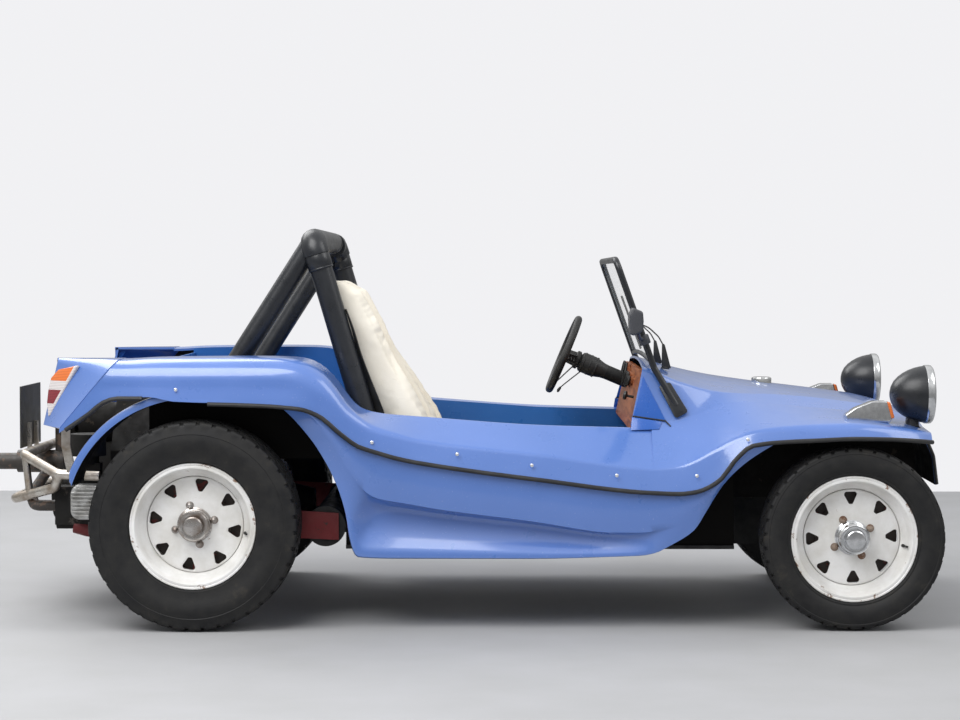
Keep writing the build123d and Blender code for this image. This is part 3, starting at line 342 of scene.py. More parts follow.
# Dark rusty drums, also spread behind the wheel windows as painted shade
rusty_drum_and_shade = worn_paint("rusty drum and painted shade", (0.05, 0.035, 0.028), (0.16, 0.03, 0.025), 0.55, 0.56)
pipe_dark = worn_paint("smoked pipe", (0.05, 0.042, 0.036), (0.13, 0.085, 0.06), 0.45, 0.52)
chrome = bare_metal("chrome", (0.7, 0.71, 0.72), (0.5, 0.51, 0.52), 0.12, bump=0.015)
worn_chrome = bare_metal("worn chrome", (0.5, 0.48, 0.46), (0.2, 0.15, 0.12), 0.24, 22.0)
# Engine castings and carburettors near black: painted shade under the tail, with a few worn patches
dark_alloy = worn_paint("alloy darkened as painted shade", (0.014, 0.013, 0.012), (0.06, 0.052, 0.045), 0.55, 0.62, 20.0, 0.25)
tube_steel = bare_metal("tube steel", (0.62, 0.59, 0.54), (0.34, 0.28, 0.22), 0.3, 18.0)
cast_alloy = bare_metal("cast alloy", (0.56, 0.56, 0.55), (0.34, 0.33, 0.31), 0.45, 24.0, 0.25)
rivet_metal = bare_metal("pale rivet metal", (0.9, 0.91, 0.93), (0.7, 0.72, 0.76), 0.3)
rubber_trim = moulded("rubber trim", (0.013, 0.013, 0.014), 0.42)
black_plastic = moulded("black plastic", (0.01, 0.01, 0.01), 0.45)
grip_black = moulded("black grip", (0.008, 0.008, 0.008), 0.5, 300.0)
grey_plastic = moulded("grey plastic", (0.05, 0.052, 0.06), 0.5)
plate_finish = moulded("plate finish", (0.02, 0.02, 0.018), 0.4, dusty=0.3)
gauge_face = moulded("gauge face", (0.015, 0.015, 0.016), 0.3)
belt_web = moulded("belt webbing", (0.012, 0.012, 0.012), 0.7, 900.0)
tread = tyre_rubber()
wood = varnished_wood()
hide = cream_hide()
screen_clear = clear_glass("screen glass", (0.8, 0.86, 0.84), 0.14)
lamp_clear = clear_glass("lamp glass", (0.8, 0.83, 0.85), 0.45)
amber = lamp_plastic("amber lens", (0.88, 0.2, 0.03))
lamp_red = lamp_plastic("red lens", (0.26, 0.02, 0.03))
lamp_white = lamp_plastic("white lens", (0.82, 0.76, 0.74))

node_finishes = {
    underside_shade: ("front_wells", "fan_shroud", "alternator"),
    tub_blue: ("tub_liner", "tub_sides"),
    chassis_black: ("floor_pan", "front_beam", "knuckle_left", "knuckle_right"),
    red_paint: ("rear_axles",),
    dark_alloy: ("gearbox", "engine_case", "cylinder_banks", "carburettors"),
    satin_black: ("steering_column",),
    pipe_dark: ("exhaust",),
    tube_steel: ("rear_bumper",),
    plate_finish: ("number_plate",),
    wood: ("dash",),
    screen_clear: ("screen_glass",),
}
for finish, names in node_finishes.items():
    for name in names:
        nodes[name].data.materials.clear()
        nodes[name].data.materials.append(finish)


# Shaping helpers

def work_on(*pieces):
    bpy.ops.object.select_all(action="DESELECT")
    for piece in pieces:
        piece.select_set(True)
    bpy.context.view_layer.objects.active = pieces[0]


def edit_all(piece):
    work_on(piece)
    bpy.ops.object.mode_set(mode="EDIT")
    bpy.ops.mesh.select_all(action="SELECT")


def leave_edit():
    bpy.ops.object.mode_set(mode="OBJECT")


def edit_chosen(piece, kind, chosen):
    # Edit mode with only the faces or corners selected that a test picks out
    edit_all(piece)
    bpy.ops.mesh.select_mode(type=kind)
    bpy.ops.mesh.select_all(action="DESELECT")
    leave_edit()
    for part in piece.data.polygons if kind == "FACE" else piece.data.vertices:
        part.select = chosen(part)
    bpy.ops.object.mode_set(mode="EDIT")


def modify(piece, kind, **settings):
    work_on(piece)
    modifier = piece.modifiers.new(kind.lower(), kind)
    for setting, value in settings.items():
        setattr(modifier, setting, value)
    bpy.ops.object.modifier_apply(modifier=modifier.name)


def soften(piece, width, segments=2, angle=40):
    modify(
        piece, "BEVEL", width=width * mm, segments=segments, limit_method="ANGLE", angle_limit=radians(angle)
    )


def clean_mesh(piece):
    edit_all(piece)
    bpy.ops.mesh.remove_doubles(threshold=0.00002)
    bpy.ops.mesh.normals_make_consistent(inside=False)
    leave_edit()


def dress(piece, *finishes):
    for finish in finishes:
        piece.data.materials.append(finish)


def join(pieces):
    work_on(*pieces)
    bpy.ops.object.join()
    return bpy.context.object


def twin(piece, matrix):
    work_on(piece)
    bpy.ops.object.duplicate()
    copy = bpy.context.object
    copy.data.transform(matrix)
    if matrix.determinant() < 0:
        copy.data.flip_normals()
    return copy


def across_car(piece):
    return twin(piece, Matrix.Scale(-1, 4, (0, 1, 0)))


def paired(piece):
    return join([piece, across_car(piece)])


def settle(piece, name, body, slot, *finishes, angle=35):
    work_on(piece)
    piece.name = name
    piece.data.name = name
    bpy.ops.object.transform_apply(location=True, rotation=True, scale=True)
    dress(piece, *finishes)
    bpy.ops.object.shade_smooth_by_angle(angle=radians(angle))
    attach(piece, body)
    return piece


def settle_sides(right, name, node, angle=50):
    # A body panel and its mirror image, each in place of the node on its own side
    for piece, side in ((right, "right"), (across_car(right), "left")):
        settle(piece, f"{name}_{side}", "chassis", "body_paint", angle=angle)
        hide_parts(f"{node}_{side}")


def rounded_chain(points, radii, arc_steps=6, run_steps=1):
    # Points along straight runs joined by an arc at each inner corner
    line = [Vector(point) for point in points]
    chain = []
    start = line[0]
    for corner_at in range(1, len(line) - 1):
        corner = line[corner_at]
        before = (corner - line[corner_at - 1]).normalized()
        after = (line[corner_at + 1] - corner).normalized()
        half_turn = before.angle(after, 0.0) / 2
        radius = radii[corner_at - 1]
        first = corner - before * radius * tan(half_turn)
        second = corner + after * radius * tan(half_turn)
        chain += [start.lerp(first, step / run_steps) for step in range(run_steps)]
        if half_turn < 0.002:
            chain += [first.lerp(second, step / arc_steps) for step in range(arc_steps)]
        else:
            centre = corner + (after - before).normalized() * (radius / cos(half_turn))
            for step in range(arc_steps):
                spoke = (first - centre).lerp(second - centre, step / arc_steps)
                chain.append(centre + spoke.normalized() * radius)
        start = second
    chain += [start.lerp(line[-1], step / run_steps) for step in range(run_steps + 1)]
    return chain


def eased(places, values, place):
    # Smooth line through the values that never swings past them
    last = len(places) - 1
    at = 0
    while at < last - 1 and place > places[at + 1]:
        at += 1
    first = max(0, at - 1)
    slopes = []
    for i in range(first, min(last, at + 2)):
        slopes.append((values[i + 1] - values[i]) / (places[i + 1] - places[i]))
    here = at - first
    run = places[at + 1] - places[at]
    tangents = []
    for i in (here - 1, here):
        if i < 0 or i + 1 >= len(slopes):
            tangents.append(slopes[here])
        elif slopes[i] * slopes[i + 1] <= 0:
            tangents.append(0.0)
        else:
            tangents.append(2 * slopes[i] * slopes[i + 1] / (slopes[i] + slopes[i + 1]))
    t = (place - places[at]) / run
    start = values[at] * (1 + 2 * t) * (1 - t) ** 2 + tangents[0] * run * t * (1 - t) ** 2
    return start + values[at + 1] * t * t * (3 - 2 * t) + tangents[1] * run * t * t * (t - 1)


def stations(rows, step):
    # Rows of a table, with more between them, about a step apart
    places = [row[0] for row in rows]
    columns = list(zip(*rows))
    more = []
    for start, end in zip(places, places[1:]):
        count = max(1, round((end - start) / step))
        more += [start + (end - start) * i / count for i in range(count)]
    more.append(places[-1])
    return [[place] + [eased(places, column, place) for column in columns[1:]] for place in more]


def skin(rows, behind):
    # A sheet through rows of points in millimetres, facing away from the point behind it
    bpy.ops.object.select_all(action="DESELECT")
    bpy.ops.mesh.primitive_grid_add(x_subdivisions=len(rows[0]) - 1, y_subdivisions=len(rows) - 1)
    piece = bpy.context.object
    for vertex, point in zip(piece.data.vertices, (point for row in rows for point in row)):
        vertex.co = Vector(point) * mm
    piece.data.update()
    origin = Vector(behind) * mm
    facing = sum(face.normal.dot(face.center - origin) * face.area for face in piece.data.polygons)
    if facing < 0:
        piece.data.flip_normals()
    return piece


def thicken(piece, thickness=wall):
    modify(
        piece, "SOLIDIFY", thickness=thickness * mm, offset=-1, material_offset=1, use_even_offset=True
    )


def cut_away(piece, point, normal):
    # Removes what lies on the normal's side of a plane
    edit_all(piece)
    bpy.ops.mesh.bisect(plane_co=Vector(point) * mm, plane_no=normal, clear_outer=True)
    leave_edit()


def shell(rows, behind, *finishes, thickness=wall, cuts=()):
    # A sheet cut along planes and given a wall on its inner side
    piece = skin(rows, behind)
    dress(piece, *finishes)
    for point, normal in cuts:
        cut_away(piece, point, normal)
    thicken(piece, thickness)
    clean_mesh(piece)
    return piece


def prism(points, reach):
    # A flat outline pushed out by a reach
    bpy.ops.object.select_all(action="DESELECT")
    bpy.ops.mesh.primitive_circle_add(vertices=len(points), fill_type="NGON")
    piece = bpy.context.object
    for vertex, point in zip(piece.data.vertices, points):
        vertex.co = Vector(point) * mm
    edit_all(piece)
    bpy.ops.mesh.extrude_region_move(TRANSFORM_OT_translate={"value": Vector(reach) * mm})
    leave_edit()
    clean_mesh(piece)
    return piece


def turned(profile, centre, axis, steps=48):
    # A closed profile of (along, radius) spun about an axis
    axis = Vector(axis).normalized()
    across = axis.orthogonal().normalized()
    middle = Vector(centre)
    bpy.ops.object.select_all(action="DESELECT")
    bpy.ops.mesh.primitive_circle_add(vertices=len(profile), fill_type="NOTHING")
    piece = bpy.context.object
    for vertex, (along, radius) in zip(piece.data.vertices, profile):
        vertex.co = (middle + axis * along + across * radius) * mm
    edit_all(piece)
    bpy.ops.mesh.spin(steps=steps, angle=2 * pi, center=middle * mm, axis=axis)
    leave_edit()
    clean_mesh(piece)
    return piece


def tube(points, radius, bend=0.0, sides=4, closed=False):
    # A round bar along points, with its corners bent to a radius
    path = rounded_chain(points, [bend] * (len(points) - 2), 10) if bend else [Vector(p) for p in points]
    bpy.ops.object.select_all(action="DESELECT")
    bpy.ops.curve.primitive_nurbs_path_add()
    piece = bpy.context.object
    piece.data.splines.clear()
    spline = piece.data.splines.new("POLY")
    spline.points.add(len(path) - 1)
    for place, point in zip(spline.points, path):
        place.co = (*(Vector(point) * mm), 1)
    spline.use_cyclic_u = closed
    piece.data.bevel_depth = radius * mm
    piece.data.bevel_resolution = sides
    piece.data.use_fill_caps = True
    bpy.ops.object.convert(target="MESH")
    piece = bpy.context.object
    clean_mesh(piece)
    return piece


def at_angle(degrees_round, radius):
    return cos(radians(degrees_round)) * radius, sin(radians(degrees_round)) * radius


def carve(piece, cutter):
    modify(piece, "BOOLEAN", operation="DIFFERENCE", object=cutter, solver="EXACT")
    bpy.data.objects.remove(cutter)


# Upper body sides: rim, rounded top and flank down to the trim line

side_rows = (
    # x, rim_z, top_y, top_z, bend_y, bend_z, bend_r, edge_y, edge_z
    (-1262, 884, 610, 890, 760, 884, 60, 770, 652),
    (-1160, 884, 610, 890, 768, 884, 70, 776, 722),
    (-1117, 884, 610, 890, 772, 884, 75, 779, 756),
    (-1069, 884, 610, 890, 776, 884, 80, 782, 770),
    (-967, 889, 610, 895, 784, 890, 90, 788, 770),
    (-887, 891, 610, 897, 786, 891, 90, 792, 756),
    (-640, 893, 610, 899, 788, 893, 90, 792, 748),
    (-546, 892, 610, 898, 788, 892, 90, 792, 743),
    (-480, 888, 610, 894, 786, 882, 88, 790, 734),
    (-439, 876, 610, 882, 783, 862, 84, 787, 721),
    (-402, 853, 610, 859, 779, 838, 78, 784, 702),
    (-359, 806, 610, 812, 774, 790, 66, 780, 664),
    (-325, 758, 610, 764, 768, 742, 54, 776, 636),
    (-288, 722, 610, 728, 762, 705, 44, 772, 610),
    (-250, 708, 610, 714, 756, 676, 38, 769, 596),
    (-210, 701, 610, 707, 751, 660, 34, 767, 584),
    (-170, 697, 608, 703, 748, 648, 32, 765, 572),
    (-90, 691, 606, 697, 744, 626, 28, 764, 555),
    (310, 663, 606, 669, 740, 578, 28, 762, 499),
    (680, 652, 604, 658, 738, 531, 28, 762, 457),
    (704, 650, 604, 655, 737.4, 530.5, 28, 761.4, 456.4),
)
side_stations = stations(side_rows, 22)
top_radius = 14.0
flank_y = 740.0
bend_margin = 40.0
flare_depth = 7.0
flare_z = 806.0
flare_half = 55.0
flare_front_x = -400.0
flare_front_run = 120.0
flare_rear_x = -1180.0
flare_rear_run = 100.0
tail_seam_point = (-1258.6, 0, 668)
tail_seam_normal = Vector((-222, 0, 186)).normalized()


def side_points(x, rim_z, top_y, top_z, bend_y, bend_z, bend_r, edge_y, edge_z):
    chain = rounded_chain(
        [(side_plane, rim_z), (top_y, top_z), (bend_y, bend_z), (edge_y, edge_z)], [top_radius, bend_r], 7, 4
    )
    # The wing is drawn in a little along a line above the wheel opening
    from_front = (flare_front_x - x) / flare_front_run
    from_rear = (x - flare_rear_x) / flare_rear_run
    flare = flare_depth * max(0.0, min(1.0, from_front, from_rear))
    points = []
    for y, z in chain:
        drawn_in = 0.0
        if y > flank_y and z < bend_z - bend_margin:
            drawn_in = flare * max(0.0, 1 - abs(z - flare_z) / flare_half)
        points.append((x, -y + drawn_in, z))
    return points


side_sheet = [side_points(*row) for row in side_stations]
side_cuts = [(tail_seam_point, tail_seam_normal)]
right_side = shell(side_sheet, (-300, 0, 500), blue, underside_shade, cuts=side_cuts)
settle_sides(right_side, "upper_body", "body_side")

# Front moulding: bonnet, wings and cowl

clip_rows = (
    # x, edge_y, edge_z, bend_y, bend_z, bend_r, dip_y, dip_z, ridge_y, ridge_z, crown_z
    (612, 762, 460, 738, 532, 28, 597, 674, 545, 868, 884),
    (680, 762, 457, 738, 531, 28, 596, 675, 545, 852, 870),
    (760, 762, 454, 738, 537, 28, 594, 680, 536, 816, 846),
    (820, 762, 461, 738, 559, 28, 584, 698, 524, 796, 832),
    (860, 762, 477, 736, 582, 32, 570, 714, 512, 784, 823),
    (900, 762, 505, 735, 605, 35, 554, 728, 496, 776, 815),
    (940, 761, 560, 735, 629, 38, 538, 739, 478, 771, 808),
    (1000, 760, 611, 735, 654, 34, 518, 742, 448, 766, 799),
    (1095, 758, 623, 737, 668, 40, 496, 734, 408, 762, 786),
    (1220, 756, 629, 737, 676, 45, 484, 722, 384, 752, 771),
    (1340, 756, 634, 735, 680, 45, 480, 711, 374, 738, 756),
    (1440, 748, 632, 726, 672, 45, 486, 696, 388, 724, 742),
    (1520, 730, 627, 704, 662, 40, 492, 680, 404, 702, 722),
    (1570, 704, 622, 680, 652, 32, 496, 666, 412, 686, 705),
    (1600, 680, 618, 655, 646, 24, 500, 656, 420, 672, 690),
)
clip_stations = stations(clip_rows, 20)
clip_rear_x = 680.0
cowl_low_z = 660.0
cowl_run = 0.2209
cowl_cut_point = (628, 0, 699)
cowl_cut_normal = Vector((-1, 0.016, cowl_run))
slope_share = 0.8
slope_drop = 0.36
crown_steps = 8


def clip_points(x, edge_y, edge_z, bend_y, bend_z, bend_r, dip_y, dip_z, ridge_y, ridge_z, crown_z):
    slope_end = (ridge_y * slope_share, ridge_z + (crown_z - ridge_z) * slope_drop)
    corners = [(edge_y, edge_z), (bend_y, bend_z), (dip_y, dip_z), (ridge_y, ridge_z), slope_end]
    half = rounded_chain(corners, [bend_r, 30, 30], 6, 3)
    for step in range(1, crown_steps + 1):
        share = slope_share * (1 - step / crown_steps)
        half.append(Vector((ridge_y * share, crown_z - (crown_z - ridge_z) * share * share)))
    right = [(x, -y, z) for y, z in half]
    return right + [(x, -y, z) for x, y, z in reversed(right[:-1])]


def below_cowl(face):
    return face.center.x < clip_rear_x * mm and face.center.z < cowl_low_z * mm


def front_moulding():
    piece = skin([clip_points(*row) for row in clip_stations], (1100, 0, 300))
    dress(piece, blue, underside_shade)
    edit_chosen(piece, "FACE", below_cowl)
    bpy.ops.mesh.delete(type="FACE")
    leave_edit()
    cut_away(piece, cowl_cut_point, cowl_cut_normal)
    thicken(piece)
    clean_mesh(piece)
    settle(piece, "front_moulding", "chassis", "body_paint", angle=50)
    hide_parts("front_clip")


front_moulding()

# Darker blue sheets laid on the side of the cowl as painted shade, with a seam between them

cowl_dip_y = 596.0
cowl_dip_z = 675.0
cowl_slope = 0.288
cheek_proud = 3.0
cheek_panels = (
    ((655, 829), (621, 698), (728, 683)),
    ((616, 694), (716, 679), (706, 655), (611, 652)),
)
cheek_seam = ((619, 697), (727, 682), (744, 664))


def on_cowl(x, z, proud):
    # Point on the outside of the cowl: steep above the dip, sloping out below it
    slope = cowl_slope if z > cowl_dip_z else 1.0
    return (x, -(cowl_dip_y - (z - cowl_dip_z) * slope) - proud, z)


def cowl_cheek():
    panels = []
    for outline in cheek_panels:
        panel = prism([on_cowl(x, z, cheek_proud) for x, z in outline], (0, 4, 1))
        soften(panel, 1.0)
        panels.append(panel)
    return join(panels)


settle(paired(cowl_cheek()), "cowl_cheeks", "chassis", "body_paint", shade_blue)
seam_right = tube([on_cowl(x, z, cheek_proud) for x, z in cheek_seam], 2.6, sides=2)
settle(paired(seam_right), "cowl_seams", "chassis", "trim_black", rubber_trim)

# Nose panel under the bonnet's front edge

nose_rows = (
    # y, top_z, setback
    (-520, 638, 8),
    (-280, 669.2, 2),
    (0, 676.2, 0),
    (280, 669.2, 2),
    (520, 638, 8),
)


def nose_points(y, top_z, setback):
    corners = [(1655 - setback, 463), (1643 - setback, 560), (1600.6, top_z)]
    return [(x, y, z) for x, z in rounded_chain(corners, [60], 8, 5)]


nose_sheet = [nose_points(*row) for row in stations(nose_rows, 40)]
nose = shell(nose_sheet, (1300, 0, 500), blue, underside_shade)
settle(nose, "nose_skin", "chassis", "body_paint", angle=50)
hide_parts("nose_panel")

# Black rubber trim along both sides, with rivets just above it

edge_line = [(row[0], row[7], row[8]) for row in side_stations if row[0] < clip_rear_x - 1]
edge_line += [(row[0], row[1], row[2]) for row in clip_stations if row[0] >= clip_rear_x]
trim_runs = ((-1252, -985), (-790, 1600))
trim_radius = 7.5
trim_outer_y = 789.5
trim_drop = 5.0
rivet_places = ((-878, 790), (-241, 617), (37, 578), (281, 542), (558, 509), (819, 508), (985, 627))


def edge_at(x):
    for (x0, y0, z0), (x1, y1, z1) in zip(edge_line, edge_line[1:]):
        if x0 <= x <= x1:
            share = (x - x0) / (x1 - x0)
            return y0 + (y1 - y0) * share, z0 + (z1 - z0) * share
    return edge_line[-1][1:]


trims = []
for start, end in trim_runs:
    run = []
    for x, y, z in edge_line:
        if start <= x <= end:
            # It hangs a little lower along the rear wheel opening
            drop = trim_drop * max(0.2, min(1.0, (-440 - x) / 80))
            run.append((x, -min(y, trim_outer_y), z - drop))
    trims.append(tube(run, trim_radius, sides=3))
nose_edge = [(1600, -517, 636), (1633, -518, 560), (1645, -518, 464)]
trims.append(tube(nose_edge, 6.0, 60, 3))
trims += [across_car(piece) for piece in trims]
settle(join(trims), "edge_trim", "chassis", "trim_black", rubber_trim)

rivet_line = [(0, 0), (0, 6.5), (2.0, 5.5), (3.2, 3), (3.6, 0)]
rivets = []
for x, z in rivet_places:
    edge_y, edge_z = edge_at(x)
    head = turned(rivet_line, (x, 1.5 - edge_y, z + 4), (0, -1, 0), 12)
    rivets += [head, across_car(head)]
settle(join(rivets), "rivets", "chassis", "chrome", rivet_metal)

# Sill pods: three lines from the trim by the crease to the outer edge, with a scooped recess

pod_rows = (
    # order, trim_x, crease_x, crease_z, edge_x, edge_z, recess
    (0, -500, -492, 732, -546, 738, 0),
    (1, -450, -437, 700, -505, 700, 0),
    (2, -410, -405, 660, -466, 656, 0),
    (3, -370, -378, 625, -433, 614, 0),
    (4, -335, -348, 578, -404, 568, 0),
    (5, -300, -319, 531, -378, 520, 0),
    (6, -262, -290, 490, -351, 455, 2),
    (7, -225, -260, 456, -330, 380, 14),
    (8, -190, -236, 441, -317, 300, 40),
    (9, -150, -205, 432, -290, 241, 58),
    (10, -90, -140, 421, -170, 236, 64),
    (11, -20, -14, 399, -14, 236, 62),
    (12, 250, 278, 362, 278, 236, 56),
    (13, 500, 532, 325, 545, 243, 34),
    (14, 590, 642, 325, 640, 247, 16),
    (15, 660, 700, 335, 684, 255, 4),
    (16, 735, 764, 354, 735, 280, 0),
    (17, 800, 828, 398, 812, 330, 0),
    (18, 850, 862, 434, 852, 392, 0),
    (19, 890, 894, 472, 906, 478, 0),
    (20, 930, 950, 548, 975, 548, 0),
    (21, 1000, 1020, 600, 1045, 596, 0),
    (22, 1050, 1056, 616, 1074, 613, 0),
)
pod_inset_x = (-560, -480, -402, -342, -288, -212, -14, 1100)
pod_insets = (18, 20, 24, 30, 35, 40, 44, 45)
recess_profile = (
    # share of the way to the edge, share of the depth
    (0.0, 0.0),
    (0.05, 0.7),
    (0.12, 0.97),
    (0.22, 1.0),
    (0.45, 0.82),
    (0.65, 0.5),
    (0.8, 0.12),
    (0.88, 0.0),
)
pod_lip_y = 734.0
pod_low_z = 262.0
pod_floor_y = 575.0
pod_floor_rise = 12.0
pod_return = 30.0
pod_bulge = 5.0
bulge_steps = 6


def pod_points(order, trim_x, crease_x, crease_z, edge_x, edge_z, recess):
    inset = eased(pod_inset_x, pod_insets, max(pod_inset_x[0], trim_x))
    trim_z = edge_at(trim_x)[1]
    top = Vector((trim_x, half_width - inset, trim_z))
    crease = Vector((crease_x, half_width - inset - 3, crease_z))
    lip_y = min(pod_lip_y, crease.y - 8)
    edge = Vector((edge_x, lip_y - 6, edge_z))
    points = []
    for step in range(bulge_steps):
        share = step / bulge_steps
        point = top.lerp(crease, share)
        point.y += pod_bulge * sin(pi * share)
        points.append(point)
    for share, depth in recess_profile:
        point = crease.lerp(Vector((edge_x, lip_y, edge_z)), share)
        point.y -= recess * depth
        points.append(point)
    points.append(Vector((edge_x, lip_y, edge_z)).lerp(crease, 0.02))
    points.append(edge)
    under = edge.copy()
    if edge_z < pod_low_z:
        under.y = pod_floor_y
        under.z += pod_floor_rise
    else:
        under.y -= pod_return
    points.append(under)
    return [(x, -y, z) for x, y, z in points]


pod_sheet = [pod_points(*row) for row in stations(pod_rows, 0.25)]
pod_right = shell(pod_sheet, (200, 0, 450), blue, underside_shade, thickness=5.0)
settle_sides(pod_right, "sill_skin", "sill_pod", angle=40)

# Arch strips behind the rear wheels: a sheet with a rolled lip that narrows to a tip

arch_radius = 418.0
arch_start = 161.5
arch_end = 99.5
arch_steps = 48
tip_share = 0.09
arch_line = ((6, 562), (8, 715), (19, 744), (25, 757), (23, 765), (13, 769.8), (0, 768.5))


def arch_strip():
    rows = []
    for step in range(arch_steps + 1):
        share = step / arch_steps
        c, s = at_angle(arch_start + (arch_end - arch_start) * share, 1)
        lip = min(1.0, share / tip_share) ** 0.5
        row = []
        for rise, y in arch_line:
            radius = arch_radius + rise * lip
            row.append((rear_axle_x + radius * c, -y, rear_hub_z + radius * s))
        rows.append(row)
    return shell(rows, (rear_axle_x, -600, rear_hub_z), blue, underside_shade, thickness=4.0)


arches = paired(arch_strip())
settle(arches, "arch_strips", "chassis", "body_paint", angle=50)
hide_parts("rear_arches")

# Tail corners and their lamps

tail_top_z = 890.0
tail_low_z = 668.0
tail_rows = (
    # order, corner_x, corner_y, low_x, low_y, shoulder
    (0, -1076, 776, -1262, 768, 78),
    (1, -1190, 690, -1305, 690, 36),
    (1.9, -1285.4, 614.4, -1342.8, 614.4, 17),
    (2, -1291, 609.5, -1345, 609.5, 15),
    (2.2, -1296, 602, -1347, 602, 12),
    (3, -1296, 562, -1347, 562, 1),
)
lamp_corner = Vector((-1296, -606, tail_top_z))
lamp_down = Vector((-1347, -606, tail_low_z)) - lamp_corner
lamp_across = Vector((-1190, -690, tail_top_z)) - lamp_corner
lamp_outward = lamp_across.cross(lamp_down).normalized() * -1
lamp_height = 19.0
lamp_shares = (
    # down, across, lift of the back off the lamp's plane, which keeps it inside the shell
    (0.10, 0.92, 2.5),
    (0.17, 0.25, -2),
    (0.30, 0.05, -2),
    (0.50, 0.05, -2),
    (0.67, 0.10, -1),
    (0.88, 0.26, 6),
    (0.86, 0.32, 8),
    (0.48, 0.62, 8.5),
)
lamp_bands = (
    # low_z, high_z, finish
    (817, 2000, 0),
    (787, 817, 1),
    (741, 787, 2),
    (0, 741, 1),
)
lamp_strip = 10.0


def tail_points(order, corner_x, corner_y, low_x, low_y, shoulder):
    inner = (corner_x, side_plane, tail_top_z)
    corners = [inner, (corner_x, corner_y, tail_top_z), (low_x, low_y, tail_low_z)]
    return [(x, -y, z) for x, y, z in rounded_chain(corners, [shoulder], 8, 4)]


tail_sheet = [tail_points(*row) for row in stations(tail_rows, 0.1)]
# The tail's inner faces take the darker blue as painted shade
tail_right = shell(tail_sheet, (-1150, -590, 690), blue, shade_blue)
settle_sides(tail_right, "tail_skin", "tail_corner")


def tail_lamp():
    points = [lamp_corner + lamp_down * down + lamp_across * across for down, across, lift in lamp_shares]
    piece = prism(points, lamp_outward * lamp_height)
    for point, (down, across, lift) in zip(points, lamp_shares):
        foot = min(piece.data.vertices, key=lambda vertex: (vertex.co - point * mm).length)
        foot.co += lamp_outward * (lift * mm)
    soften(piece, 5, 3)
    dress(piece, amber, lamp_white, lamp_red)
    for low, high, index in lamp_bands[:-1]:
        edit_all(piece)
        bpy.ops.mesh.bisect(plane_co=(0, 0, low * mm), plane_no=(0, 0, 1))
        leave_edit()
    for face in piece.data.polygons:
        for low, high, index in lamp_bands:
            if low * mm <= face.center.z < high * mm:
                face.material_index = index
    # A white strip down the outer edge
    first, last = points[0], points[-1]
    side = (last - first).normalized().cross(lamp_outward).normalized()
    if side.dot(lamp_across) < 0:
        side.negate()
    strip = first - side * lamp_strip
    edit_all(piece)
    bpy.ops.mesh.bisect(plane_co=strip * mm, plane_no=side)
    leave_edit()
    for face in piece.data.polygons:
        if (face.center - strip * mm).dot(side) > 0:
            face.material_index = 1
    return piece


tail_lamps = paired(tail_lamp())
settle(tail_lamps, "tail_lamp_lenses", "chassis", "lamp_red")
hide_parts("tail_lamps")

# Headlamps

lamp_x = 1553.0
lamp_y = 560.0
lamp_z = 769.0
lamp_foot_z = 651.0
bowl_line = [(-75, 0), (-74, 14), (-70, 28), (-61, 45), (-48, 59), (-32, 71), (-14, 81), (6, 88.5), (24, 93)]
bowl_line += [(38, 95), (39, 84), (39, 0)]
rim_line = [(38, 80), (38, 97), (42, 98), (54, 98), (60, 96.5), (64, 92), (65, 87), (64, 82), (60, 80)]
lens_line = [(51, 0), (51, 79.5), (57, 79.5), (62, 66), (66, 47), (69, 24), (70, 0)]


def headlamp_parts(name, profile, replaced, slot, finish, extra=None):
    part = turned(profile, (lamp_x, -lamp_y, lamp_z), (1, 0, 0), 64)
    if extra:
        part = join([part, extra])
    both = paired(part)
    settle(both, name, "chassis", slot, finish)
    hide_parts(replaced)


foot_line = [(0, 0), (0, 30), (6, 30), (12, 24), (45, 20), (45, 0)]
lamp_foot = turned(foot_line, (lamp_x, -lamp_y, lamp_foot_z), (0, 0, 1), 32)
headlamp_parts("headlamp_shells", bowl_line, "headlamp_bowls", "frame_black", frame_black, lamp_foot)
headlamp_parts("headlamp_bezels", rim_line, "headlamp_rims", "chrome", chrome)
headlamp_parts("headlamp_glasses", lens_line, "headlamp_lenses", "lamp_glass", lamp_clear)

# Front indicators: chrome wedge with an amber lens facing forward

wedge = ((1324, 684), (1464, 679), (1472, 690), (1455, 750), (1408, 750), (1352, 728), (1318, 704))


def indicator():
    outline = rounded_chain([*wedge, wedge[0]], [4, 4, 6, 40, 60, 6], 5)[:-1]
    body = prism([(x, -648, z) for x, z in outline], (0, 56, 0))
    soften(body, 9, 4)
    return body


indicators = paired(indicator())
settle(indicators, "indicator_bodies", "chassis", "chrome", chrome, angle=60)
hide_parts("indicator_bases")
lens_shape = ((1442, -645, 750), (1467, -645, 747), (1482, -645, 694), (1457, -645, 688))
amber_lens = prism(lens_shape, (0, 50, 0))
soften(amber_lens, 5, 3)
settle(paired(amber_lens), "indicator_lenses", "chassis", "lamp_red", amber)

# Fuel cap

cap_line = [(0, 0), (0, 39), (5, 39), (7, 36), (12, 35), (24, 36), (28, 34), (30.5, 28), (31, 0)]
fuel_cap = turned(cap_line, (1112, 0, 772), (0, 0, 1), 48)
settle(fuel_cap, "filler_cap", "chassis", "chrome", chrome)
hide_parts("fuel_cap")

# Wheels: rim, pressed disc with eight windows, drum, hub, nuts and valve

flange_r = 207.5
window_shape = ((-27, 151), (27, 151), (6, 110), (-6, 110))
window_count = 8
nut_count = 4
nut_circle = 66.0
stem_angle = 189
stem_circle = 168.0
wheel_table = (
    # name, axle x, hub z, wheel y, rim half width, disc offset, first window, first nut, hub end
    ("front", front_axle_x, front_hub_z, 655.0, 70.0, 5.0, 88.0, 62.0, 114.0),
    ("rear", rear_axle_x, rear_hub_z, 680.0, 90.0, 18.0, 99.0, 76.0, 100.0),
)


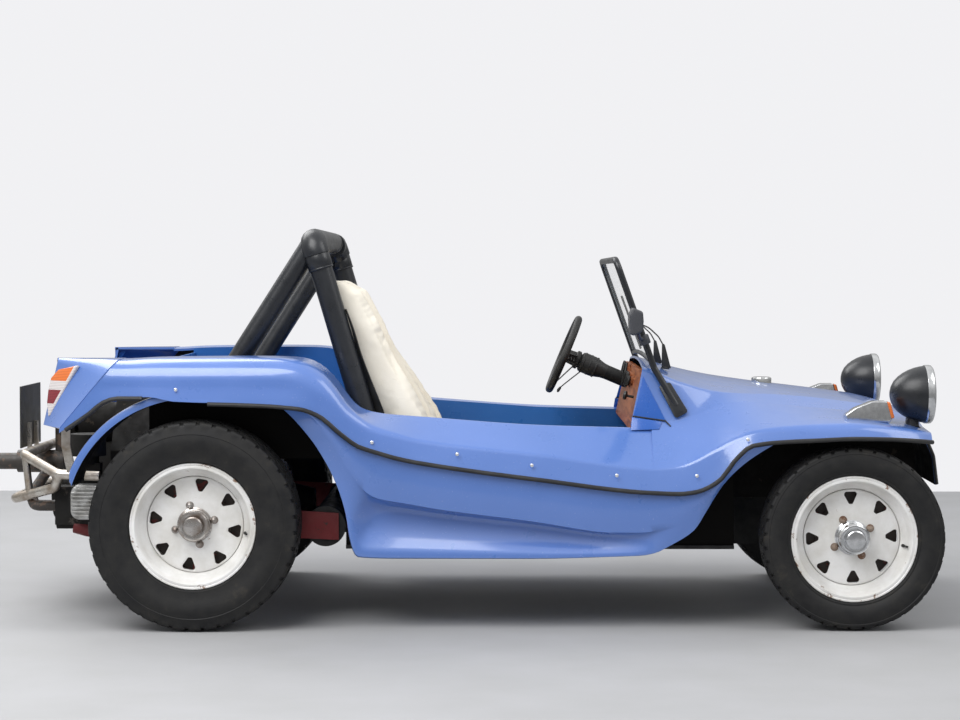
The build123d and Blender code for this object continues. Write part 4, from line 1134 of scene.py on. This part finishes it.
def rim_profile(half):
    outer = [(half, 191), (half + 0.5, 204), (half + 3, flange_r), (half + 6, 206), (half + 6.3, 202)]
    outer += [(half + 4.2, 199.5), (half + 5.4, 197), (half + 5, 191), (half + 1, 187.5), (half - 28, 182)]
    outer += [(half - 36, 177), (half - 50, 166), (half - 58, 161)]
    back = [(47 - half, 157), (27 - half, 184), (-half - 5, 185), (-half - 6, 203), (-half - 3, 207)]
    back += [(-half, 205), (-half, 190), (25 - half, 190), (45 - half, 164), (half - 60, 166)]
    back += [(half - 47, 170), (half - 34, 182), (half - 26, 190)]
    return outer + back


def disc_profile(offset):
    face = [(3, 159), (6.5, 157.5), (8.5, 153), (10, 140), (13, 118), (17, 96), (20, 80), (20, 40), (19, 30)]
    back = [(12, 30), (12, 74), (9, 92), (5, 116), (1, 140), (-1, 158), (0, 159)]
    return [(offset + along, radius) for along, radius in face + back]


def hub_profile(offset, end):
    base = offset + 19
    step = end - 22
    line = [(base, 0), (base, 58), (base + 3, 58), (base + 5, 54), (base + 18, 53), (base + 20, 50)]
    line += [(step - 3, 49), (step, 46), (step + 0.5, 40), (step - 1, 33)]
    return line + [(end - 4, 31.5), (end - 1, 28), (end, 14), (end, 0)]


def window_cutter(offset, first):
    outline = rounded_chain([(0, 151), *window_shape[1:], window_shape[0], (0, 151)], [9, 6, 6, 9], 5)[:-1]
    cutters = []
    for count in range(window_count):
        turn = radians(first - 90 + 360 / window_count * count)
        points = []
        for across, out in outline:
            x = across * cos(turn) - out * sin(turn)
            z = across * sin(turn) + out * cos(turn)
            points.append((x, offset - 30, z))
        cutters.append(prism(points, (0, 80, 0)))
    return join(cutters)


def lug_nut(x, y, z):
    seat = turned([(0, 0), (0, 14), (3, 13), (4, 10), (4, 0)], (x, y, z), (0, 1, 0), 16)
    hexagon = [(x + 10 * cos(pi / 3 * i), y + 3, z + 10 * sin(pi / 3 * i)) for i in range(6)]
    body = prism(hexagon, (0, 11, 0))
    soften(body, 1.2)
    end = turned([(0, 0), (0, 7.5), (4, 6), (5.5, 3), (6, 0)], (x, y + 14, z), (0, 1, 0), 12)
    return join([seat, body, end])


def wheel_pieces(half, offset, first_window, first_nut, hub_end):
    rim = turned(rim_profile(half), (0, 0, 0), (0, 1, 0), 96)
    disc = turned(disc_profile(offset), (0, 0, 0), (0, 1, 0), 96)
    carve(disc, window_cutter(offset, first_window))
    soften(disc, 1.2, 2, 50)
    steel = join([rim, disc])
    # The drum's back plate reaches out to 153 behind the disc's windows, a dark sheet standing as painted
    # shade inside the wheel
    drum_line = [(-30, 0), (-30, 117), (offset - 26, 117), (offset - 26, 153), (offset - 22, 153)]
    drum_line += [(offset - 21, 117), (offset - 14, 116), (offset - 9, 110)]
    drum_line += [(offset - 8, 90), (offset - 8, 0)]
    drum = turned(drum_line, (0, 0, 0), (0, 1, 0), 48)
    hub = turned(hub_profile(offset, hub_end), (0, 0, 0), (0, 1, 0), 48)
    nuts = []
    for count in range(nut_count):
        x, z = at_angle(first_nut + 360 / nut_count * count, nut_circle)
        nuts.append(lug_nut(x, offset + 19, z))
    nut_set = join(nuts)
    stem_x, stem_z = at_angle(stem_angle, stem_circle)
    stem_line = [(0, 0), (0, 5.5), (14, 4.5), (16, 3), (30, 3), (30, 3.8), (38, 3.6), (39, 0)]
    stem = turned(stem_line, (stem_x, half - 46, stem_z), (0.25 * stem_x / 172, 1, 0), 12)
    return steel, drum, hub, nut_set, stem


groove_shares = [0.13, 0.2, 0.46, 0.53, 0.78, 0.84, 1.0]
groove_depth = 6.0
crown_drop = 5.0
tread_steps = 160
tread_blocks = (
    # inner and outer share of the half tread, cells in one pitch, cells left open, shift
    (0.0, 0.13, 5, 1, 0),
    (0.2, 0.46, 4, 1, 2),
    (0.53, 0.78, 4, 1, 1),
    (0.84, 1.3, 4, 1, 3),
)


def tyre_piece(radius, half_tyre, half_rim, tread_half, guard):
    shares = [-share for share in reversed(groove_shares)] + groove_shares
    tread_line = [(share * tread_half, radius - groove_depth - crown_drop * share ** 2) for share in shares]
    belly = 0.5 * (radius + flange_r)
    wall_line = [(half_rim - 0.5, 191), (half_rim + 1, 206), (half_rim + 5, 210), (half_rim + guard, 214)]
    wall_line += [(half_rim + guard, 219), (half_tyre - 6, belly - 28), (half_tyre - 1.5, belly - 12)]
    wall_line += [(half_tyre - 0.2, belly), (half_tyre - 1.2, belly + 12), (half_tyre - 4, belly + 24)]
    wall_line += [(half_tyre - 2.8, belly + 26), (half_tyre - 4.4, belly + 32)]
    wall_line += [(tread_half + 9, radius - 19), (tread_half + 5, radius - 13)]
    near = [(-y, r) for y, r in wall_line]
    profile = near + tread_line + wall_line[::-1]
    piece = turned(profile, (0, 0, 0), (0, 1, 0), tread_steps)

    def on_block(face):
        place = face.center / mm
        cell = int(degrees(atan2(place.z, place.x)) % 360 / 360 * tread_steps)
        share = abs(place.y) / tread_half
        if hypot(place.x, place.z) <= radius - 17:
            return False
        for inner, outer, pitch, gap, shift in tread_blocks:
            if inner <= share < outer:
                return (cell + shift) % pitch >= gap
        return False

    edit_chosen(piece, "FACE", on_block)
    bpy.ops.mesh.extrude_region()
    leave_edit()
    for vertex in piece.data.vertices:
        if vertex.select:
            out = hypot(vertex.co.x, vertex.co.z)
            grow = (out + (groove_depth - 0.2) * mm) / out
            vertex.co.x *= grow
            vertex.co.z *= grow
    return piece


def place_wheel(name, axle_x, hub_z, wheel_y, half, *pressing):
    pieces = wheel_pieces(half, *pressing)
    if name == "front":
        tyre = tyre_piece(front_hub_z, 92.5, half, 77.0, 9.0)
    else:
        tyre = tyre_piece(rear_hub_z, 117.5, half, 98.0, 12.0)
    for side, sign in (("right", -1), ("left", 1)):
        centre = Vector((axle_x, sign * wheel_y, hub_z))
        # The outer face turns to the car's own side
        turn = Matrix.Identity(4) if sign > 0 else Matrix.Rotation(pi, 4, "Z")
        move = Matrix.Translation(centre * mm) @ turn
        body = f"{name}_wheel_{side}"
        enamel = wheel_enamel(f"white enamel {name} {side}", centre)
        looks = (
            ("steel", "wheel_white", enamel),
            ("drum", "forged_steel", rusty_drum_and_shade),
            ("hub", "chrome", chrome if name == "front" else worn_chrome),
            ("nuts", "chrome", rusty_steel if name == "front" else worn_chrome),
            ("valve", "trim_black", black_plastic),
        )
        for piece, (part, slot, finish) in zip(pieces, looks):
            copy = settle(twin(piece, move), f"{name}_{part}_{side}", body, slot, finish)
            if part == "steel":
                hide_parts(f"{name}_wheel_{side}")
        copy = settle(twin(tyre, move), f"{name}_tread_{side}", body, "tyre", tread, angle=40)
        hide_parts(f"{name}_tyre_{side}")
    for piece in (*pieces, tyre):
        bpy.data.objects.remove(piece)


for row in wheel_table:
    place_wheel(*row)

# Roll bar with two stays and joint collars at the elbows

roll_tube = 38.0
elbow_radius = 45.0
hoop_y = 508.0
hoop_top_z = 1286.9
stay_y = 480.0
stay_foot_z = 560.5
pan_top_z = 262.3


def hoop_x(z):
    return -312 + (z - 802) * -0.2957


def collar(start, end, radius):
    start = Vector(start)
    reach = Vector(end) - start
    line = [(0, 0), (0, radius), (2, radius + 1.6), (reach.length - 2, radius + 1.6), (reach.length, radius)]
    return turned([*line, (reach.length, 0)], start, reach, 40)


def foot_plate(rear_x, front_x, y, half, z, height):
    corners = [(rear_x, y - half), (front_x, y - half), (front_x, y + half), (rear_x, y + half)]
    return prism([(*corner, z) for corner in corners], (0, 0, height))


def roll_bar():
    hoop = []
    for y, z in ((-1, pan_top_z + 1), (-1, hoop_top_z), (1, hoop_top_z), (1, pan_top_z + 1)):
        hoop.append((hoop_x(z), y * hoop_y, z))
    parts = [tube(hoop, roll_tube, 95, 8)]
    for side in (-1, 1):
        stay = [(-458, side * stay_y, 1274), (-913, side * stay_y, 561)]
        parts.append(tube(stay, roll_tube - 2, sides=8))
        elbow = [(hoop_y, 1236), (hoop_y, 1278), (404, 1278)]
        parts.append(tube([(hoop_x(z), side * y, z) for y, z in elbow], elbow_radius, 42, 8))
        for low, high, grow in ((1190, 1238, 2.5), (1186, 1192, 3.5)):
            lower = (hoop_x(low), side * hoop_y, low)
            parts.append(collar(lower, (hoop_x(high), side * hoop_y, high), roll_tube + grow))
        top_x = hoop_x(hoop_top_z)
        parts.append(collar((top_x, side * 404, 1281), (top_x, side * 352, 1285), roll_tube - 1))
        foot_x = hoop_x(pan_top_z)
        parts.append(foot_plate(foot_x - 58, foot_x + 48, side * hoop_y, 38, pan_top_z + 0.2, 13))
        parts.append(foot_plate(-983, -843, side * stay_y, 48, stay_foot_z, 7))
    whole = join(parts)
    settle(whole, "roll_hoop", "chassis", "frame_black", frame_black, angle=40)
    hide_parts("roll_bar")


roll_bar()

# Belt webbing that hangs from each hoop leg and turns its face to the side lower down

belt_y = -500.0
belt_half = 20.0
belt_rows = (
    # z, x, turn
    (520, -200, 60),
    (600, -206, 45),
    (680, -222, 40),
    (740, -242, 45),
    (820, -270, 60),
    (910, -300, 70),
    (990, -322, 76),
    (1052, -344, 80),
)


def belt():
    rows = []
    for z, x, turn in stations(belt_rows, 25):
        out_x, out_y = at_angle(turn, belt_half)
        rows.append([(x - out_x, belt_y + out_y, z), (x, belt_y, z), (x + out_x, belt_y - out_y, z)])
    piece = skin(rows, (-400, belt_y, 800))
    modify(piece, "SOLIDIFY", thickness=2.4 * mm, offset=0)
    clean_mesh(piece)
    return piece


settle(paired(belt()), "belt_webbing", "chassis", "trim_black", belt_web)

# Windscreen frame with its side brackets

post_y = 556.0
post_radius = 11.0
rail_steps = 24
rail_rise = 16.0
screw_line = [(0, 0), (0, 6), (3, 5), (4, 0)]


def screen_x(z):
    return 694 + (z - 849) * -0.3547


def cowl_side_y(z):
    return cowl_dip_y - (z - cowl_dip_z) * 51 / 177


def screen_frame():
    path = [(765, -cowl_side_y(732), 732), (screen_x(856), -post_y, 856), (screen_x(1218), -post_y, 1218)]
    path += [(x, -y, z) for x, y, z in reversed(path)]
    parts = [tube(path, post_radius, 40, 5)]
    rail = []
    for step in range(rail_steps + 1):
        y = -post_y + 2 * post_y * step / rail_steps
        z = 872 + rail_rise * (1 - (y / post_y) ** 2)
        rail.append((screen_x(z), y, z))
    parts.append(tube(rail, 8, sides=4))
    bracket = ((705, 798), (745, 809), (804, 712), (761, 689))
    outline = rounded_chain([(725, 803.5), *bracket[1:], bracket[0], (725, 803.5)], [9, 9, 9, 9], 4)[:-1]
    for side in (-1, 1):
        plate = prism([(x, side * (cowl_side_y(z) + 8), z) for x, z in outline], (0, -17 * side, 0))
        soften(plate, 1.5)
        parts.append(plate)
        for x, z in ((730, 790), (779, 712)):
            screw_place = (x, side * (cowl_side_y(z) + 8), z)
            parts.append(turned(screw_line, screw_place, (0, side, 0), 12))
    whole = join(parts)
    settle(whole, "screen_surround", "chassis", "frame_black", frame_black, angle=40)
    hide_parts("screen_frame")


screen_frame()

# Steering wheel: padded rim, three drilled spokes and a boss; it turns with its own body

rim_radius = 141.0
across_wheel = Vector((0, 1, 0))
up_wheel = steering_axis.cross(across_wheel)


def on_wheel(right, up, along=0.0):
    return steering_centre + across_wheel * right + up_wheel * up - steering_axis * along


def steering_wheel():
    circle = [at_angle(7.5 * i, 1) for i in range(48)]
    rim = tube([on_wheel(rim_radius * c, rim_radius * s) for c, s in circle], 13.8, sides=6, closed=True)
    boss_line = [(14, 0), (14, 20), (18, 25), (44, 27), (47, 34), (60, 34), (62, 29), (62, 0)]
    boss = turned(boss_line, steering_centre, steering_axis, 40)
    shaft = turned([(58, 0), (58, 9.8), (104, 9.8), (104, 0)], steering_centre, steering_axis, 24)
    spokes = []
    for angle in (0, 180, 270):
        c, s = at_angle(angle, 1)
        outline = ((20, -15, -50), (136, -12, 2), (136, 12, 2), (20, 15, -50))
        corners = [on_wheel(u * c - v * s, u * s + v * c, along) for u, v, along in outline]
        spoke = prism(corners, steering_axis * 4)
        holes = []
        for out, hole, along in ((48, 8, -37), (74, 7.5, -25), (100, 6.5, -13)):
            middle = on_wheel(out * c, out * s, along + 10)
            holes.append(turned([(0, 0), (0, hole), (20, hole), (20, 0)], middle, steering_axis, 20))
        carve(spoke, join(holes))
        soften(spoke, 0.8, 1)
        spokes.append(spoke)
    whole = join([rim, boss, shaft, *spokes])
    settle(whole, "steering_rim", "steering_wheel", "grip_black", grip_black)
    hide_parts("steering_wheel")


steering_wheel()

# Switch housing on the column with one thin stalk

housing_line = [(66, 0), (66, 30), (70, 36), (84, 38), (118, 38)]
housing_line += [(132, 35), (156, 28.5), (170, 27.4), (170, 0)]
stalk_line = ((-17, -27, -86), (-50, -76, -56), (-84, -128, -26))
tip_line = [(0, 0), (0, 4), (4, 5), (18, 5), (22, 3), (22, 0)]
tip_axis = (-0.5, -0.4, -0.75)


def column_fittings():
    housing = turned(housing_line, steering_centre, steering_axis, 40)
    ribs = []
    for along in (76, 100, 124):
        line = [(along, 0), (along, 38.6), (along + 3, 39.4), (along + 6, 38.6), (along + 6, 0)]
        ribs.append(turned(line, steering_centre, steering_axis, 40))
    stalk = tube([on_wheel(*place) for place in stalk_line], 2.4, sides=2)
    tip = turned(tip_line, on_wheel(-76, -116, -33), tip_axis, 16)
    settle(join([housing, *ribs, stalk, tip]), "column_switch", "chassis", "trim_black", black_plastic)


column_fittings()

# Gear lever with its gaiter, and the hand brake with its grip

lever_x = 170.0
lever_z = 400.3
gaiter_line = [(0, 0), (0, 32), (10, 32), (16, 27), (22, 29), (30, 22), (37, 24), (48, 14), (60, 9), (60, 0)]
knob_line = [(0, 0), (0, 9), (6, 15), (14, 20), (24, 21.5), (33, 18), (39, 10), (41, 0)]
brake_line = [(0, 0), (0, 9), (130, 9), (133, 12), (138, 13)]
brake_line += [(226, 12), (232, 9), (233, 5), (239, 5), (240, 0)]
brake_start = Vector((40, 0, lever_z + 28))
brake_end = Vector((-190, 0, lever_z + 90))
brake_base = ((60, 0), (-60, 0), (-60, 30), (-40, 40), (50, 40), (60, 28))


def hand_controls():
    gaiter = turned(gaiter_line, (lever_x, 0, lever_z), (-0.12, 0, 1), 32)
    stick = tube([(lever_x, 0, lever_z + 10), (lever_x - 43, 0, 602)], 7, sides=4)
    knob = turned(knob_line, (lever_x - 42, 0, 596), (-0.18, 0, 1), 32)
    base = prism([(x, -14, lever_z + z) for x, z in brake_base], (0, 28, 0))
    soften(base, 3.0)
    brake = turned(brake_line, brake_start, brake_end - brake_start, 24)
    whole = join([gaiter, stick, knob, base, brake])
    settle(whole, "hand_controls", "chassis", "trim_black", satin_black)
    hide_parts("hand_levers")


hand_controls()

# Wipers: tapered arms on the cowl and thin rods up to the blades

wiper_y = (-330.0, 110.0)
wiper_x = 744.0
pivot_line = [(0, 0), (0, 15), (5, 15), (8, 11), (16, 10), (16, 0)]
arm_half = 11.0
arm_top_x = 738.0
arm_top_z = 900.0
rod_rows = ((738, 0, 925), (722, 10, 955), (690, 25, 985), (656, 40, 1000))
blade_low_z = 900.0
blade_length = 190.0
blade_gap = 11.0


def wiper(foot_y):
    pivot = turned(pivot_line, (wiper_x, foot_y, 844), (0.1, 0, 1), 24)
    near, far = foot_y - arm_half, foot_y + arm_half
    arm = prism([(764, near, 846), (732, near, 852), (732, far, 852), (764, far, 846)], (-4, 0, 82))
    # Its upper end is drawn in
    for vertex in arm.data.vertices:
        if vertex.co.z > arm_top_z * mm:
            vertex.co.x = arm_top_x * mm + (vertex.co.x - wiper_x * mm) * 0.3
            vertex.co.y = foot_y * mm + (vertex.co.y - foot_y * mm) * 0.4
    soften(arm, 2.0)
    rod_line = [(x, foot_y + across, z) for x, across, z in rod_rows]
    rod = tube(rounded_chain(rod_line, [60, 60], 8), 2.6, sides=2)
    blade_line = []
    for share in (0.0, 0.25, 0.5, 0.75, 1.0):
        z = blade_low_z + blade_length * share
        blade_line.append((screen_x(z) + blade_gap, foot_y + 10 + 60 * share, z))
    blade = tube(blade_line, 4.0, sides=2)
    return join([pivot, arm, rod, blade])


wiper_set = join([wiper(y) for y in wiper_y])
settle(wiper_set, "wiper_arms", "chassis", "trim_black", black_plastic)
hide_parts("wipers")

# Door mirror on the near post

mirror_outline = ((612, 1061), (645, 1047), (647.5, 1014), (643, 980), (604, 964), (601, 1034))


def side_mirror():
    start = [(628, 1054), *mirror_outline[1:], mirror_outline[0], (628, 1054)]
    outline = rounded_chain(start, [12, 12, 12, 10, 14, 8], 4)[:-1]
    shell = prism([(x, -719, z) for x, z in outline], (0, 126, 0))
    soften(shell, 8, 4)
    stem = tube([(632, -640, 975), (640, -600, 958), (654, -562, 950)], 7, 20, 3)
    clamp_line = [(-16, 0), (-16, 17), (-12, 19), (12, 19), (16, 17), (16, 0)]
    clamp = turned(clamp_line, (screen_x(950), -556, 950), (-0.3343, 0, 0.9425), 24)
    whole = join([shell, stem, clamp])
    settle(whole, "door_mirror", "chassis", "mirror_shell", grey_plastic, angle=60)
    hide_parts("side_mirror")


side_mirror()

# Dials on the dash and one pull knob

dash_normal = Vector((-0.9764, 0, 0.2157))
dial_table = (
    # y, z, radius
    (270.0, 800.0, 42.0),
    (430.0, 800.0, 42.0),
    (120.0, 790.0, 26.0),
    (40.0, 790.0, 26.0),
    (-60.0, 790.0, 16.0),
)


def cowl_x(z):
    return 619 + (z - 699) * cowl_run


def dials():
    rings = []
    faces = []
    for y, z, radius in dial_table:
        middle = (cowl_x(z) - 1, y, z)
        line = [(0, radius - 4), (0, radius), (5, radius + 3), (9, radius + 1), (9, radius - 4)]
        rings.append(turned(line, middle, dash_normal, 32))
        faces.append(turned([(0, 0), (0, radius - 4), (4, radius - 4), (4.5, 0)], middle, dash_normal, 32))
    settle(join(rings), "dial_rings", "chassis", "trim_black", satin_black)
    settle(join(faces), "dial_faces", "chassis", "trim_black", gauge_face)
    knob_line = [(0, 0), (0, 5), (22, 4), (24, 13), (30, 16), (36, 13), (38, 0)]
    knob = turned(knob_line, (cowl_x(752), -430, 752), dash_normal, 24)
    settle(knob, "dash_knob", "chassis", "trim_black", black_plastic)


dials()

# Finned rocker covers and the heater pipes under them

cover_rear = -1288.0
cover_middle = -1193.0
cover_front = -1098.0
cover_low_z = 333.0
cover_high_z = 453.0
fin_count = 8
fin_pitch = 13.0
fin_height = 6.0


def finned_cover():
    start = (cover_middle, cover_low_z)
    corners = [start, (cover_front, cover_low_z), (cover_front, cover_high_z)]
    corners += [(cover_rear, cover_high_z), (cover_rear, cover_low_z), start]
    outline = rounded_chain(corners, [32, 32, 32, 32], 6)[:-1]
    parts = [prism([(x, -451, z) for x, z in outline], (0, 58, 0))]
    soften(parts[0], 6, 3)
    for count in range(fin_count):
        low = cover_low_z + 12 + fin_pitch * count
        high = low + fin_height
        inset = 16 if count in (0, fin_count - 1) else 4
        rear = cover_rear + inset
        front = cover_front - inset
        bar = ((rear, low), (front, low), (front, high), (rear, high))
        fin = prism([(x, -449, z) for x, z in bar], (0, -11, 0))
        soften(fin, 1.5)
        parts.append(fin)
    return join(parts)


settle(paired(finned_cover()), "finned_covers", "chassis", "cast_alloy", cast_alloy)
heater_line = [(-1286, -366, 304), (-1240, -372, 292), (-1110, -372, 290), (-1068, -352, 292)]
settle(paired(tube(heater_line, 26, 60, 6)), "heater_pipes", "chassis", "red_paint", red_paint)

# Seats: the solids remeshed and blown up a little, then sewn channels pressed in

seat_table = (
    # side, centre y, how far the top of the back is set back
    ("right", -270.0, 8.0),
    ("left", 270.0, 48.0),
)
seat_voxel = 0.009
lean_low_z = 640.0
lean_run = 320.0
puff_pressure = 4.0
puff_frames = 20
puff_limit = 0.014
channel_pitch = 62.0
channel_depth = 7.0
channel_half = 16.0
channel_reach = 128.0


def seat_copy(centre_y):
    work_on(nodes["seats"])
    bpy.ops.object.duplicate()
    piece = bpy.context.object
    piece.data.materials.clear()
    edit_all(piece)
    bpy.ops.mesh.remove_doubles(threshold=0.00002)
    leave_edit()
    edit_chosen(piece, "VERT", lambda vertex: vertex.co.y * centre_y < 0)
    bpy.ops.mesh.delete(type="VERT")
    leave_edit()
    return piece


def seat_pad(side, centre_y, lean):
    piece = seat_copy(centre_y)
    for vertex in piece.data.vertices:
        rise = max(0.0, min(1.0, (vertex.co.z / mm - lean_low_z) / lean_run))
        vertex.co.x -= lean * mm * rise
    modify(piece, "REMESH", mode="VOXEL", voxel_size=seat_voxel)
    modify(piece, "SMOOTH", factor=0.6, iterations=14)
    start = [vertex.co.copy() for vertex in piece.data.vertices]
    work_on(piece)
    cloth = piece.modifiers.new("padding", "CLOTH")
    cloth.settings.use_pressure = True
    cloth.settings.uniform_pressure_force = puff_pressure
    cloth.settings.quality = 4
    cloth.settings.effector_weights.gravity = 0.0
    scene.frame_start = 1
    scene.frame_end = puff_frames
    for number in range(1, puff_frames + 1):
        scene.frame_set(number)
    bpy.ops.object.modifier_apply(modifier=cloth.name)
    scene.frame_set(1)
    for vertex, place in zip(piece.data.vertices, start):
        moved = vertex.co - place
        if moved.length > puff_limit:
            vertex.co = place + moved * (puff_limit / moved.length)
    # Upright channels on the faces that hold the sitter
    piece.data.update()
    for vertex in piece.data.vertices:
        across = vertex.co.y / mm - centre_y
        faces_sitter = vertex.normal.x * 0.6 + vertex.normal.z * 0.8
        if abs(across) < channel_reach and faces_sitter > 0.35:
            phase = across / channel_pitch
            line = abs(phase - round(phase)) * channel_pitch
            if line < channel_half:
                vertex.co -= vertex.normal * channel_depth * mm * (1 - line / channel_half) ** 2
    modify(piece, "SUBSURF", levels=1, render_levels=1)
    settle(piece, f"seat_{side}", "chassis", "seat_hide", hide, angle=80)
    return piece


seat_pieces = [seat_pad(*row) for row in seat_table]
for piece in seat_pieces:
    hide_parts("seats")

# Floor and light

floor_size = 8.3
lamp_target = Vector((0, 0, 0.6))
bpy.ops.object.select_all(action="DESELECT")
bpy.ops.mesh.primitive_plane_add(size=floor_size)
floor = bpy.context.object
floor.name = "floor"
floor_finish, floor_tree, floor_surface = new_finish("pale floor", (0.5, 0.5, 0.5), 0.7)
floor_cloud = noise(floor_tree, object_place(floor_tree), 3.0, 4.0)
floor_tone = ramp(floor_tree, floor_cloud, (0.3, (0.4, 0.4, 0.4)), (0.7, (0.43, 0.43, 0.435)))
feed(floor_tree, floor_surface.inputs["Base Color"], floor_tone)
dress(floor, floor_finish)

world = bpy.data.worlds.new("studio")
scene.world = world
world.use_nodes = True
sky = world.node_tree
ambient = sky.nodes["Background"]
ambient.inputs["Color"].default_value = (0.93, 0.95, 1.0, 1)
ambient.inputs["Strength"].default_value = 0.62
backdrop = sky.nodes.new("ShaderNodeBackground")
backdrop.inputs["Color"].default_value = (0.88, 0.88, 0.9, 1)
backdrop.inputs["Strength"].default_value = 1.0
# Mirror reflections see a darker band at the horizon and a bright sky above it
mirrored = sky.nodes.new("ShaderNodeBackground")
direction = sky.nodes.new("ShaderNodeTexCoord")
parts = sky.nodes.new("ShaderNodeSeparateXYZ")
sky.links.new(direction.outputs["Generated"], parts.inputs["Vector"])
feed(sky, mirrored.inputs["Color"], ramp(sky, parts.outputs["Z"], (0.03, 0.3), (0.3, 0.55), (0.7, 0.95)))
rays = sky.nodes.new("ShaderNodeLightPath")
shader = ambient.outputs["Background"]
for ray, sight in (
    ("Is Glossy Ray", mirrored), ("Is Camera Ray", backdrop), ("Is Transmission Ray", backdrop)
):
    blend = sky.nodes.new("ShaderNodeMixShader")
    sky.links.new(rays.outputs[ray], blend.inputs["Fac"])
    sky.links.new(shader, blend.inputs[1])
    sky.links.new(sight.outputs["Background"], blend.inputs[2])
    shader = blend.outputs["Shader"]
sky.links.new(shader, sky.nodes["World Output"].inputs["Surface"])

lamp_table = (
    # place, size, power
    ((-2.4, -3.8, 5.4), 4.5, 330),
    ((-3.0, 3.0, 5.0), 4.0, 180),
    ((4.0, -1.5, 4.5), 3.0, 70),
)
for place, size, watts in lamp_table:
    bpy.ops.object.light_add(type="AREA", location=place)
    lamp = bpy.context.object
    lamp.data.energy = watts
    lamp.data.size = size
    lamp.rotation_euler = (lamp_target - Vector(place)).to_track_quat("-Z", "Y").to_euler()
